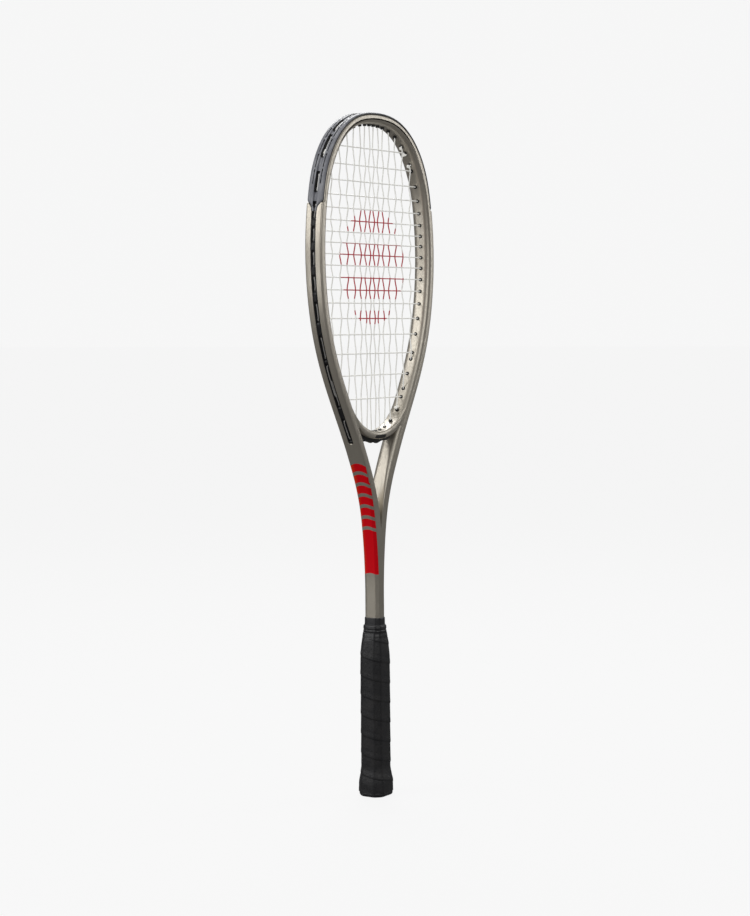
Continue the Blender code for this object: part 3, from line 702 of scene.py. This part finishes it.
def resampled(line, count):
    line = np.array(line)
    length = lengths_along(line)
    at = np.linspace(0, length[-1], count)
    return np.c_[np.interp(at, length, line[:, 0]), np.interp(at, length, line[:, 1])]


def bridge_skin():
    """The bar between the legs, from one leg to the other, filleted into their inner faces."""
    upper, lower = (np.vstack([(line * (-1, 1))[:0:-1], line]) for line in bridge_lines())
    deep = BRIDGE_HALF_DEPTH
    rings = []
    for top, bottom in zip(upper, lower):
        across = bottom - top
        length = np.linalg.norm(across)
        half = [(0.0, 0.0), (0.0, deep - 3.4)]
        half += corner((3.0, deep - 3.0), (3.0, 3.0), 180, 90, 7)
        half += corner((length - 2.0, deep - 2.0), (2.0, 2.0), 90, 0, 5)
        half += [(length, 0.0)]
        ring = []
        for n, y in both_halves(half):
            x, z = top + across * (n / length)
            ring.append((x, y, z))
        rings.append(ring)
    return skin(rings)


# ---- guard and strips

def slot_depth(s):
    """Depth and half width of the slots in the guard's rails at s: end to end, each with a pip at one end."""
    along = (s_at_z(SLOT_END_Z) - abs(s)) % SLOT_PITCH
    if abs(s) > s_at_z(SLOT_END_Z):
        return 0.0, 0.3
    open_here = ease(along, 0.0, 0.7) * ease(-along, -SLOT_LENGTH, -SLOT_LENGTH + 0.7)
    pip = ease(along, SLOT_LENGTH - 2.6, SLOT_LENGTH - 1.8) * open_here
    return SLOT_DEPTH * open_here, 0.34 + 0.3 * pip


def guard_section(s):
    """Section of the guard: two slotted rails, the channel between them, and a rib in the groove below."""
    face = face_n(s)
    top = proud(s) - 0.02
    wide = guard_width(s)
    floor = face + floor_n(s) + guard_lift(s)
    depth, half_slot = slot_depth(s)
    half = [
        (floor, 0.0), (floor, TROUGH_HALF - 0.4), (floor + 0.15, TROUGH_HALF),
        (top - 0.6, TROUGH_HALF + 0.35), (top - 0.12, TROUGH_HALF + 0.6), (top, TROUGH_HALF + 1.0),
        (top, SLOT_Y - half_slot - 0.15), (top - depth, SLOT_Y - half_slot),
        (top - depth, SLOT_Y + half_slot), (top, SLOT_Y + half_slot + 0.15),
        (top, wide - 2.2), (top - 0.12, wide - 1.2), (top - 0.45, wide - 0.5), (top - 1.0, wide - 0.08),
        (face + 0.35, wide), (face + 0.05, wide - 0.15), (face + 0.05, GROOVE_HALF - 0.1),
        (face - GROOVE_DEPTH + 0.2, GROOVE_HALF - 0.25), (face - GROOVE_DEPTH + 0.2, 0.0),
    ]
    # Where the guard narrows, the points above its widest one are drawn in and stay in order
    for k in range(GUARD_WIDEST):
        half[k] = (half[k][0], min(half[k][1], wide - 0.04 * (GUARD_WIDEST - k)))
    return both_halves(half)


def strip_section(s):
    """Section of a side strip: a shallow channel for the string, sunk in the moulding's groove."""
    floor = floor_n(s)
    half = [
        (floor, 0.0), (floor, TROUGH_HALF - 0.35), (floor + 0.12, TROUGH_HALF), (-0.3, TROUGH_HALF + 0.2),
        (0.05, TROUGH_HALF + 0.5), (0.05, STRIP_HALF - 0.3), (-0.25, STRIP_HALF),
        (-GROOVE_DEPTH + 0.2, STRIP_HALF - 0.1), (-GROOVE_DEPTH + 0.2, 0.0),
    ]
    return both_halves(half)


def throat_strip_section(s):
    """The strip under the bridge: two walls with a scalloped edge round the strings."""
    edge = THROAT_STRIP_ANGLE * BRIDGE_RADIUS
    wave = 0.5 + 0.5 * math.cos(2 * math.pi * s / SCALLOP_PITCH)
    scallop = (0.35 + 0.65 * wave) * ease(-abs(s), -edge, 5 - edge)
    low = BRIDGE_FLOOR + 0.7 + (THROAT_STRIP_HEIGHT - 2.0) * scallop
    base = BRIDGE_THICKNESS - 0.6
    floor = BRIDGE_FLOOR
    half = [
        (floor, 0.0), (floor, 2.0), (floor + 0.3, 2.3), (low - 0.4, 2.6), (low, 3.0), (low, 3.5),
        (low - 0.4, 4.0), (base, 4.5), (base, 0.0),
    ]
    return both_halves(half)


def swept(section, places, along=rim):
    return skin([place(section(s), s, along) for s in places])


def barrels(holes):
    """The ends of these holes' barrels, which stand out further at the crown."""
    return [hole.barrel(0.9 + 1.1 * ease(hole.bed[1], 600, 655)) for hole in holes]


def make_guard(guard, black, holes):
    end = s_at_z(BUMPER_END_Z)
    places = spread(-end, end, 0.75)
    shell = piece("bumper_guard_moulding", swept(guard_section, places), guard, ["bumper_guard"])
    # The guard's flanks, slots and low channel are painted black as shade
    paint_shade_on_guard(shell, places, black)
    own = barrels([hole for hole in holes if hole.along is rim and abs(hole.s) < end])
    piece("crown_grommets", joined(own), black)


def make_side_strips(black, holes):
    end = s_at_z(BUMPER_END_Z)
    lengths = spread(s_at_z(STRIP_START_Z), s_at_z(GROOVE_END_Z) - 0.8, 0.9)
    for side, name in ((-1, "left"), (1, "right")):
        strip = swept(strip_section, [side * s for s in lengths])
        own = barrels([hole for hole in holes if hole.along is rim and hole.s * side > end])
        shape = joined([strip] + own)
        piece(f"side_grommets_{name}", shape, black, [f"grommet_strip_{name}"])


def make_throat_strip(black, holes):
    reach = THROAT_STRIP_ANGLE * BRIDGE_RADIUS
    strip = swept(throat_strip_section, spread(-reach, reach, 0.8), arc)
    own = barrels([hole for hole in holes if hole.along is arc])
    piece("throat_grommets", joined([strip] + own), black, ["throat_grommet_strip"])


def paint_shade_on_guard(guard, places, black):
    """Gives the guard's flanks, its slots and the low stretches of its channel the black nylon, as painted
    shade.
    """
    guard.data.materials.append(black)
    sides = len(guard_section(0.0))
    for face in guard.data.polygons:
        ring, side = divmod(face.index, sides)
        side = min(side, sides - 1 - side)
        if ring >= len(places) - 1:
            continue
        s = places[ring]
        in_channel = side <= CHANNEL_SIDES and floor_n(s) < -0.8
        in_slot = side in SLOT_SIDES and slot_depth(s)[0] > 0.3
        if in_channel or in_slot or side in FLANK_SIDES:
            face.material_index = 1


def shade_loops(strings, look):
    """Gives the parts of a string that lie in the side strips the look of a string in shade."""
    strings.data.materials.append(look)
    for face in strings.data.polygons:
        x, _, z = face.center / MM
        if z > BUMPER_END_Z:
            continue
        if np.hypot(EDGE[:, 0] - abs(x), EDGE[:, 1] - z).min() < 2.5:
            face.material_index = 1


def make_strings(look, shaded):
    mains = tube(route(MAINS, CROSSES[::-1], 1, MAIN_WAVE, 1, 0), STRING_RADIUS)
    crosses = tube(route(CROSSES, MAINS, 0, -CROSS_WAVE, -1, 1), STRING_RADIUS)
    main_shape = joined([mains] + tie_offs(MAINS, MAIN_KNOTS))
    cross_shape = joined([crosses] + tie_offs(CROSSES, CROSS_KNOTS))
    shade_loops(piece("main_strings", main_shape, look, ["main_string"]), shaded)
    shade_loops(piece("cross_strings", cross_shape, look, ["cross_string"]), shaded)


# ---- handle

def grip_outside(z):
    """Half widths and bevel of the wrapped handle at height z: flared butt, straight length, then taper."""
    flare = ease(z, FLARE_TOP_Z, FLARE_Z)
    along = min(max((z - TAPER_START_Z) / (TAPER_END_Z - TAPER_START_Z), 0.0), 1.0)
    taper = along ** TAPER_POWER
    full = (*GRIP_HALF, GRIP_BEVEL)
    wide = (*FLARE_HALF, FLARE_BEVEL)
    return tuple(g + (w - g) * flare + (s - g) * taper for g, w, s in zip(full, wide, SHAFT_SIZE))


def octagon_ring(size, by, z, count=96, power=30):
    """A ring round the handle's soft-edged octagon, moved outwards by a distance or a function of place."""
    half_x, half_y, bevel = size
    diagonal = (half_x + half_y - bevel) / math.sqrt(2)
    ring = []
    for k in range(count):
        turn = 2 * math.pi * k / count
        reach = sum(
            (abs(math.cos(turn - math.radians(at))) / far) ** power
            for at, far in ((0, half_x), (90, half_y), (45, diagonal), (135, diagonal))
        ) ** (-1 / power)
        reach += by(turn, z) if callable(by) else by
        ring.append((reach * math.cos(turn), reach * math.sin(turn), z))
    return ring


def wrap_offset(turn, z):
    """How far out the wrap's surface lies: each turn of the strip covers the edge of the one under it."""
    above = ((z / WRAP_PITCH + turn / (2 * math.pi) - WRAP_EDGE_TURN) % 1.0) * WRAP_PITCH
    rise = ease(above, 0.0, 0.8)
    fall = 0.55 * ease(above, 2.5, 6.5) + 0.45 * ease(above, 8.0, WRAP_PITCH - 1.0)
    fuller = WRAP_FULLER * (1 - ease(z, FLARE_TOP_Z + 6, FLARE_Z)) * ease(-z, -TAPER_END_Z, -TAPER_START_Z)
    return fuller - WRAP_STEP * (1 - rise * (1 - fall))


def round_rings(profile, count=96):
    """Round rings about the handle's axis from (radius, z) pairs."""
    turns = [2 * math.pi * k / count for k in range(count)]
    return [[(radius * math.cos(t), radius * math.sin(t), z) for t in turns] for radius, z in profile]


def make_grip(look):
    levels = spread(GRIP_START_Z, GRIP_TOP_Z, 0.55)
    rings = [octagon_ring(grip_outside(z), wrap_offset, z, 128) for z in levels]
    top, bottom = levels[-1], levels[0]
    rings.insert(0, octagon_ring(grip_outside(bottom), -1.3, bottom + 0.2, 128))
    rings.append(octagon_ring(grip_outside(top), -1.4, top + 0.1, 128))
    piece("spiral_grip", skin(rings), look, ["grip_wrap"], sharp=50)


def make_tape(look):
    bottom = TAPE_BOTTOM_Z - 0.2
    rings = [octagon_ring(grip_outside(bottom), -0.9, bottom)]
    for z in spread(TAPE_BOTTOM_Z, TAPE_RIDGES_Z, 0.8):
        on_ridge = (z - TAPE_BOTTOM_Z) % TAPE_RIDGE_PITCH < 0.6 * TAPE_RIDGE_PITCH
        rings.append(octagon_ring(grip_outside(z), 0.0 if on_ridge else -0.12, z))
    rings.append(octagon_ring(SHAFT_SIZE, 0.9, TAPE_RIDGES_Z + 1.0))
    rings.append(octagon_ring(SHAFT_SIZE, 0.65, TAPE_TOP_Z))
    piece("finishing_band", skin(rings), look, ["grip_tape"])


def make_collar(look):
    """The rubber collar: two ribs, a shoulder and a thin sleeve, round an inside a little off the shaft."""
    bottom, shoulder, top = COLLAR_BOTTOM_Z, COLLAR_SHOULDER_Z, COLLAR_TOP_Z
    profile = (
        (1.3, bottom), (2.15, bottom), (2.4, bottom + 0.5), (2.35, bottom + 1.6), (1.95, bottom + 2.2),
        (1.95, bottom + 3.0), (2.3, bottom + 3.5), (2.25, shoulder - 1.6), (1.95, shoulder - 0.7),
        (1.3, shoulder - 0.1), (0.95, shoulder + 0.3), (0.85, shoulder + 2.0), (0.8, top - 1.0),
        (0.7, top - 0.3), (0.45, top), (0.15, top), (0.15, bottom + 1.0),
    )
    rings = [octagon_ring(SHAFT_SIZE, by, z) for by, z in profile]
    piece("rubber_collar", skin(rings, capped=False), look, ["grip_collar"], body="collar")


def make_cap(look):
    """The butt cap: its wall behind the wrap, a rolled rim, and the recess for the badge."""
    wide = grip_outside(FLARE_Z)
    profile = (
        (-1.0, 10.0), (-0.85, GRIP_START_Z - 0.1), (-0.62, GRIP_START_Z - 0.5), (-0.62, 2.2),
        (-0.9, 1.3), (-1.5, 0.6), (-2.4, 0.12), (-3.4, 0.0),
    )
    rings = [octagon_ring(wide, by, z, power=18) for by, z in profile]
    rings += round_rings(((8.6, 0.0), (8.3, 0.25), (8.3, 0.9), (0.5, 0.9)))
    piece("end_cap", skin(rings), look, ["butt_cap"])


def make_badge(look):
    """The plain disc in the cap's recess, with a shallow round groove."""
    profile = (
        (7.9, 0.9), (7.9, 0.35), (7.6, 0.12), (6.6, 0.1), (6.4, 0.3), (5.6, 0.3), (5.4, 0.1), (0.5, 0.05),
    )
    piece("end_badge", skin(round_rings(profile)), look, ["butt_badge"])


# ---- materials

class Look:
    """A material being made, with short calls for its nodes. Coordinates are the racket's, in millimetres."""

    def __init__(self, name, colour, roughness, metallic=0.0, **sockets):
        self.made = bpy.data.materials.new(name)
        self.made.use_nodes = True
        self.tree = self.made.node_tree
        self.shader = self.tree.nodes["Principled BSDF"]
        self.colour(colour)
        self.roughness(roughness)
        self.shader.inputs["Metallic"].default_value = metallic
        for given, value in sockets.items():
            socket = given.replace("_", " ").title().replace("Ior", "IOR")
            self.shader.inputs[socket].default_value = value
        self.made.diffuse_color = (*colour, 1.0)
        coordinates = self.node("TexCoord")
        self.place = self.vector("SCALE", coordinates.outputs["Object"], scale=1 / MM)
        self.x, self.y, self.z = self.node("SeparateXYZ", self.place).outputs

    def node(self, kind, *values, **settings):
        """A new node with these settings, and these values or sources in its inputs, in order."""
        made = self.tree.nodes.new("ShaderNode" + kind)
        for name, setting in settings.items():
            setattr(made, name, setting)
        for value, target in zip(values, made.inputs):
            if value is not None:
                self.link(value, target)
        return made

    def link(self, source, target):
        """Feeds an input from an output, or sets it to a number, a vector or a colour."""
        if isinstance(source, bpy.types.NodeSocket):
            self.tree.links.new(source, target)
        elif target.type == "RGBA":
            target.default_value = (*source, 1.0)
        else:
            target.default_value = source

    def vector(self, operation, first, second=None, scale=None):
        made = self.node("VectorMath", first, second, None, scale, operation=operation)
        return made.outputs["Value"] if operation == "LENGTH" else made.outputs[0]

    def math(self, operation, first, second=0.0, third=0.0):
        return self.node("Math", first, second, third, operation=operation).outputs[0]

    def times(self, first, second):
        return self.math("MULTIPLY", first, second)

    def less(self, first, second):
        return self.math("SUBTRACT", first, second)

    def step(self, value, start, end, low=0.0, high=1.0):
        """low where value is at start, high where it is at end, smoothly."""
        made = self.node("MapRange", value, start, end, low, high, interpolation_type="SMOOTHSTEP")
        return made.outputs[0]

    def noise(self, scale, detail=2.0, stretch=(1, 1, 1), roughness=0.5):
        stretched = self.vector("MULTIPLY", self.place, stretch)
        return self.node("TexNoise", stretched, None, scale, detail, roughness).outputs["Fac"]

    def patches(self, scale, detail, start, end, low=0.0, high=1.0):
        """Soft patches of noise between low and high."""
        return self.step(self.noise(scale, detail), start, end, low, high)

    def cells(self, scale, feature="F1"):
        return self.node("TexVoronoi", self.place, None, scale, feature=feature).outputs["Distance"]

    def mix(self, factor, first, second):
        made = self.node("Mix", factor, data_type="RGBA")
        colours = [socket for socket in made.inputs if socket.type == "RGBA"]
        self.link(first, colours[0])
        self.link(second, colours[1])
        return next(socket for socket in made.outputs if socket.type == "RGBA")

    def colour(self, source):
        self.link(source, self.shader.inputs["Base Color"])

    def roughness(self, source):
        self.link(source, self.shader.inputs["Roughness"])

    def bump(self, height_of, distance, strength=1.0, under=None):
        """Bump from a height of 0 to 1 over a distance in millimetres."""
        made = self.node("Bump", strength, distance * MM)
        self.link(height_of, made.inputs["Height"])
        if under is not None:
            self.link(under, made.inputs["Normal"])
        self.link(made.outputs[0], self.shader.inputs["Normal"])
        return made.outputs[0]


def lacquer_look(graphics):
    """Satin metallic paint: flake, a fade towards the shaft, orange peel, and light scuffs at the crown."""
    name = "champagne_lacquer_graphics" if graphics else "champagne_lacquer"
    look = Look(name, CHAMPAGNE, 0.34, METAL, coat_weight=0.25, coat_roughness=0.12)
    fade = look.step(look.z, 470.0, 235.0)
    paint = look.mix(fade, CHAMPAGNE, BRONZE)
    flake = look.step(look.cells(5.0), 0.1, 0.55, 0.0, 0.22)
    paint = look.mix(flake, paint, (0.62, 0.58, 0.50))
    cloud = look.patches(0.012, 3.0, 0.35, 0.7, 0.0, 0.16)
    paint = look.mix(cloud, paint, (0.36, 0.33, 0.28))
    scratches = look.step(look.noise(1.1, 5.0, (1, 1, 0.18)), 0.66, 0.74)
    scuff = look.times(scratches, look.step(look.z, 560, 680))
    paint = look.mix(look.times(scuff, 0.22), paint, (0.66, 0.65, 0.62))
    paint = look.mix(lozenge_mask(look), paint, (0.045, 0.042, 0.04))
    if graphics:
        bars, edge = bar_mask(look)
        ink = look.mix(edge, RED, (0.88, 0.05, 0.006))
        paint = look.mix(bars, paint, ink)
        look.link(look.math("MULTIPLY_ADD", bars, -METAL, METAL), look.shader.inputs["Metallic"])
        look.link(look.math("MULTIPLY_ADD", bars, -0.2, 0.25), look.shader.inputs["Coat Weight"])
        look.link(look.math("MULTIPLY_ADD", bars, -0.4, 0.5), look.shader.inputs["Specular IOR Level"])
    look.colour(paint)
    look.roughness(look.patches(0.5, 4.0, 0.3, 0.75, 0.28, 0.42))
    look.bump(look.noise(1.6, 2.0), 0.03, 0.5)
    return look.made


def bar_mask(look):
    """Bars across the lower legs, slightly bowed, with a longer block at the foot, and their orange edge."""
    bowed = look.math("MULTIPLY_ADD", look.times(look.y, look.y), 0.035, look.z)
    down = look.less(BAR_TOP_Z, bowed)
    phase = look.math("FRACT", look.math("DIVIDE", down, BAR_PITCH))
    bar = look.step(phase, BAR_SHARE, BAR_SHARE + 0.03, 1.0, 0.0)
    block_at = BARS_ABOVE_BLOCK * BAR_PITCH
    block = look.step(down, block_at - 0.2, block_at)
    bar = look.math("MAXIMUM", bar, block)
    above = look.step(bowed, BARS_END_Z, BARS_END_Z + 0.4)
    inside = look.times(look.step(down, -0.2, 0.1), above)
    edge = look.step(look.y, 3.0, 8.0)
    return look.times(bar, inside), edge


def lozenge_mask(look):
    """A plain lozenge printed on the front and back of the bridge."""
    up = look.less(look.z, LOZENGE_Z)
    leaned = look.math("ABSOLUTE", look.less(look.x, look.times(up, LOZENGE_LEAN)))
    wide = look.step(leaned, LOZENGE_HALF[0] + 0.2, LOZENGE_HALF[0] - 0.2)
    tall = look.step(look.math("ABSOLUTE", up), LOZENGE_HALF[1] + 0.2, LOZENGE_HALF[1] - 0.2)
    face = look.step(look.math("ABSOLUTE", look.y), BRIDGE_HALF_DEPTH - 0.5, BRIDGE_HALF_DEPTH - 0.3)
    return look.times(look.times(wide, tall), face)


def guard_look():
    look = Look("slate_guard_plastic", (0.20, 0.205, 0.23), 0.36, coat_weight=0.15, coat_roughness=0.3)
    streak = look.step(look.noise(0.22, 4.0, (1, 1, 0.3)), 0.35, 0.7)
    body = look.mix(streak, (0.17, 0.175, 0.20), (0.28, 0.285, 0.31))
    scuff = look.step(look.noise(1.8, 6.0, (1, 0.25, 1), 0.65), 0.62, 0.72)
    look.colour(look.mix(look.times(scuff, 0.55), body, (0.50, 0.51, 0.54)))
    look.roughness(look.patches(0.9, 4.0, 0.3, 0.7, 0.30, 0.46))
    look.bump(look.noise(5.0, 3.0), 0.04, 0.6)
    return look.made


# Black nylon of the grommets, also put on the guard as painted shade
def nylon_look():
    look = Look("black_nylon", (0.012, 0.012, 0.014), 0.42)
    tone = look.patches(0.7, 3.0, 0.4, 0.7)
    look.colour(look.mix(tone, (0.004, 0.004, 0.005), (0.013, 0.012, 0.013)))
    look.roughness(look.patches(2.2, 3.0, 0.3, 0.7, 0.34, 0.5))
    look.bump(look.noise(6.0, 2.0), 0.03, 0.5)
    return look.made


def string_look():
    """Natural-coloured multifilament with a fine twist, a plain striped disc stencilled on the bed, and a
    painted glow that lightens it in shade.
    """
    look = Look("natural_string", (0.76, 0.75, 0.71), 0.38, coat_weight=0.35, coat_roughness=0.2)
    twist = look.node("TexWave", look.place, 1.9, 1.2, bands_direction="DIAGONAL")
    fibre = look.mix(look.patches(0.35, 3.0, 0.4, 0.7), (0.74, 0.735, 0.70), (0.80, 0.79, 0.755))
    centred = look.vector("SUBTRACT", look.place, (0.0, 0.0, STENCIL_Z))
    flat = look.vector("LENGTH", look.vector("MULTIPLY", centred, (1, 0, 1)))
    ragged = look.math("ADD", flat, look.patches(1.3, 2.0, 0.3, 0.7, -0.5, 0.5))
    disc = look.step(ragged, STENCIL_RADIUS + 0.3, STENCIL_RADIUS - 0.3)
    up = look.less(look.z, STENCIL_Z + STRIPE_PITCH / 3)
    phase = look.math("FRACT", look.math("DIVIDE", up, STRIPE_PITCH))
    stripe = look.step(look.math("ABSOLUTE", look.less(phase, 0.5)), 0.16, 0.19, 0.0, 1.0)
    band = look.times(disc, stripe)
    ink = look.mix(look.patches(2.5, 3.0, 0.35, 0.7), CRIMSON, (0.46, 0.006, 0.022))
    printed = look.mix(look.times(band, 0.96), fibre, ink)
    look.colour(printed)
    # Painted light: the strings glow in their printed colour
    look.link(printed, look.shader.inputs["Emission Color"])
    look.shader.inputs["Emission Strength"].default_value = STRING_PAINTED_GLOW
    look.bump(twist.outputs["Fac"], 0.03, 0.4)
    return look.made


def grip_look():
    """Cushion grip: fine leather-like grain and rows of small holes."""
    look = Look("black_grip", (0.012, 0.012, 0.014), 0.44, specular_ior_level=0.5)
    grain = look.cells(1.9, "SMOOTH_F1")
    fine = look.noise(4.0, 4.0)
    tone = look.patches(0.08, 4.0, 0.35, 0.7)
    look.colour(look.mix(tone, (0.011, 0.011, 0.013), (0.022, 0.021, 0.022)))
    look.roughness(look.patches(0.6, 4.0, 0.3, 0.7, 0.40, 0.56))
    under = look.bump(grain, 0.16, 0.45)
    under = look.bump(fine, 0.05, 0.5, under)
    holes = perforation(look)
    look.bump(holes, 0.5, 0.9, under)
    return look.made


def perforation(look):
    """0 in small holes on a skewed grid round and along the handle, 1 elsewhere."""
    turn = look.math("ARCTAN2", look.y, look.x)
    rows = look.times(turn, HOLES_ROUND / (2 * math.pi))
    skew = look.times(turn, HOLE_SKEW / (2 * math.pi))
    column = look.math("ADD", look.math("DIVIDE", look.z, HOLE_STEP), skew)
    shifted = look.math("ADD", rows, look.times(look.math("FLOOR", column), 0.5))
    across = look.times(look.less(look.math("FRACT", shifted), 0.5), HOLE_ACROSS)
    up = look.times(look.less(look.math("FRACT", column), 0.5), HOLE_STEP)
    squares = [look.math("POWER", offset, 2.0) for offset in (across, up)]
    return look.step(look.math("SQRT", look.math("ADD", *squares)), 0.32, 0.55)


def plain_look(name, colour, lighter, roughness, grain, depth, metallic=0.0, **sockets):
    """A moulded or rolled surface with a little variation in colour, gloss and grain."""
    look = Look(name, colour, roughness, metallic, **sockets)
    look.colour(look.mix(look.patches(0.4, 4.0, 0.35, 0.7), colour, lighter))
    look.roughness(look.patches(1.1, 3.0, 0.3, 0.7, roughness - 0.06, roughness + 0.08))
    look.bump(look.noise(grain, 3.0), depth, 0.6)
    return look.made


def paint_graphics(obj, look):
    """Gives the outer faces of the lower legs the lacquer with the bars."""
    obj.data.materials.append(look)
    for face in obj.data.polygons:
        centre = face.center / MM
        if not BARS_END_Z - 2 < centre.z < BAR_TOP_Z + 4:
            continue
        side = math.copysign(1.0, centre.x)
        normal = rim_normal(side * s_at_z(centre.z))
        if face.normal.x * normal[0] + face.normal.z * normal[1] > 0.6:
            face.material_index = 1


# ---- stage

def make_camera():
    camera = bpy.data.cameras.new("camera")
    camera.sensor_width = SENSOR_WIDTH
    camera.lens = CAMERA_LENS
    obj = linked("camera", camera)
    around, down, roll = (math.radians(a) for a in CAMERA_TURNS)
    level = Matrix.Rotation(around, 4, "Z") @ Matrix.Rotation(math.pi / 2 - down, 4, "X")
    obj.matrix_world = Matrix.Translation(CAMERA_PLACE) @ level @ Matrix.Rotation(roll, 4, "Z")
    bpy.context.scene.camera = obj


def area_light(name, location, aim_z, size, power):
    light = bpy.data.lights.new(name, "AREA")
    light.shape = "RECTANGLE"
    light.size, light.size_y = size
    light.energy = power
    obj = linked(name, light)
    obj.location = location
    obj.rotation_mode = "QUATERNION"
    way = Vector((0.0, 0.0, aim_z)) - Vector(location)
    obj.rotation_quaternion = way.to_track_quat("-Z", "Y")


def make_floor():
    far = FLOOR_HALF
    mesh = bpy.data.meshes.new("floor")
    mesh.from_pydata([(-far, -far, 0), (far, -far, 0), (far, far, 0), (-far, far, 0)], [], [(0, 1, 2, 3)])
    mesh.materials.append(floor_look())
    linked("floor", mesh)


def make_sky():
    """An even backdrop to the eye, and a soft light that is stronger from above."""
    world = bpy.data.worlds.new("studio")
    world.use_nodes = True
    nodes, link = world.node_tree.nodes, world.node_tree.links.new
    background = nodes["Background"]
    background.inputs["Color"].default_value = (1.0, 1.0, 1.0, 1.0)
    split = nodes.new("ShaderNodeSeparateXYZ")
    light = nodes.new("ShaderNodeMapRange")
    seen = nodes.new("ShaderNodeMapRange")
    link(nodes.new("ShaderNodeTexCoord").outputs["Generated"], split.inputs[0])
    link(split.outputs[2], light.inputs["Value"])
    light.inputs["To Min"].default_value, light.inputs["To Max"].default_value = SKY_LIGHT
    link(nodes.new("ShaderNodeLightPath").outputs["Is Camera Ray"], seen.inputs["Value"])
    link(light.outputs[0], seen.inputs["To Min"])
    seen.inputs["To Max"].default_value = BACKDROP
    link(seen.outputs[0], background.inputs["Strength"])
    bpy.context.scene.world = world


def floor_look():
    """A pale studio floor, as bright to the eye as the backdrop."""
    look = Look("pale_floor", (0.02, 0.02, 0.02), 0.9)
    look.bump(look.noise(0.02, 3.0), 0.05, 0.2)
    look.shader.inputs["Emission Color"].default_value = (1.0, 1.0, 1.0, 1.0)
    seen = look.node("LightPath").outputs["Is Camera Ray"]
    look.link(look.step(seen, 0.0, 1.0, FLOOR_LIGHT, FLOOR_SEEN), look.shader.inputs["Emission Strength"])
    return look.made


# ---- the racket

def make_handle():
    dark = (0.014, 0.014, 0.016), (0.024, 0.024, 0.026)
    rubber = (0.010, 0.010, 0.012), (0.020, 0.020, 0.022)
    grey = (0.16, 0.16, 0.17), (0.22, 0.22, 0.23)
    make_grip(grip_look())
    make_tape(plain_look("finishing_tape", *dark, 0.30, 1.5, 0.03))
    make_collar(plain_look("collar_rubber", *rubber, 0.36, 3.0, 0.04))
    make_cap(plain_look("butt_cap_plastic", *dark, 0.40, 4.0, 0.05))
    make_badge(plain_look("badge_plastic", *grey, 0.34, 4.0, 0.03))


def dress_inner_nodes():
    """Gives the foam and the staples, which keep the meshes of the part, their materials."""
    foam = plain_look("foam", (0.45, 0.42, 0.36), (0.52, 0.49, 0.42), 0.8, 2.0, 0.2)
    steel = plain_look("staple_steel", (0.62, 0.62, 0.63), (0.70, 0.70, 0.71), 0.3, 6.0, 0.02, 1.0)
    for name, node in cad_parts.items():
        if name == "handle_foam" or name.startswith("butt_staple"):
            node.data.materials.clear()
            node.data.materials.append(foam if name == "handle_foam" else steel)


def main():
    make_camera()
    lacquer = lacquer_look(False)
    moulding = joined([frame_skin(), bridge_skin()])
    body = piece("moulded_frame", moulding, lacquer, ["frame", "throat_bridge"])
    paint_graphics(body, lacquer_look(True))
    black = nylon_look()
    holes = [hole for row in MAINS + CROSSES for hole in row[1:]]
    make_guard(guard_look(), black, holes)
    make_side_strips(black, holes)
    make_throat_strip(black, holes)
    shaded = plain_look("string_in_shade", (0.42, 0.41, 0.39), (0.50, 0.49, 0.47), 0.4, 4.0, 0.03)
    make_strings(string_look(), shaded)
    make_handle()
    dress_inner_nodes()
    make_floor()
    make_sky()
    bpy.context.scene.view_settings.view_transform = "Standard"
    for light in LIGHTS:
        area_light(*light)


main()
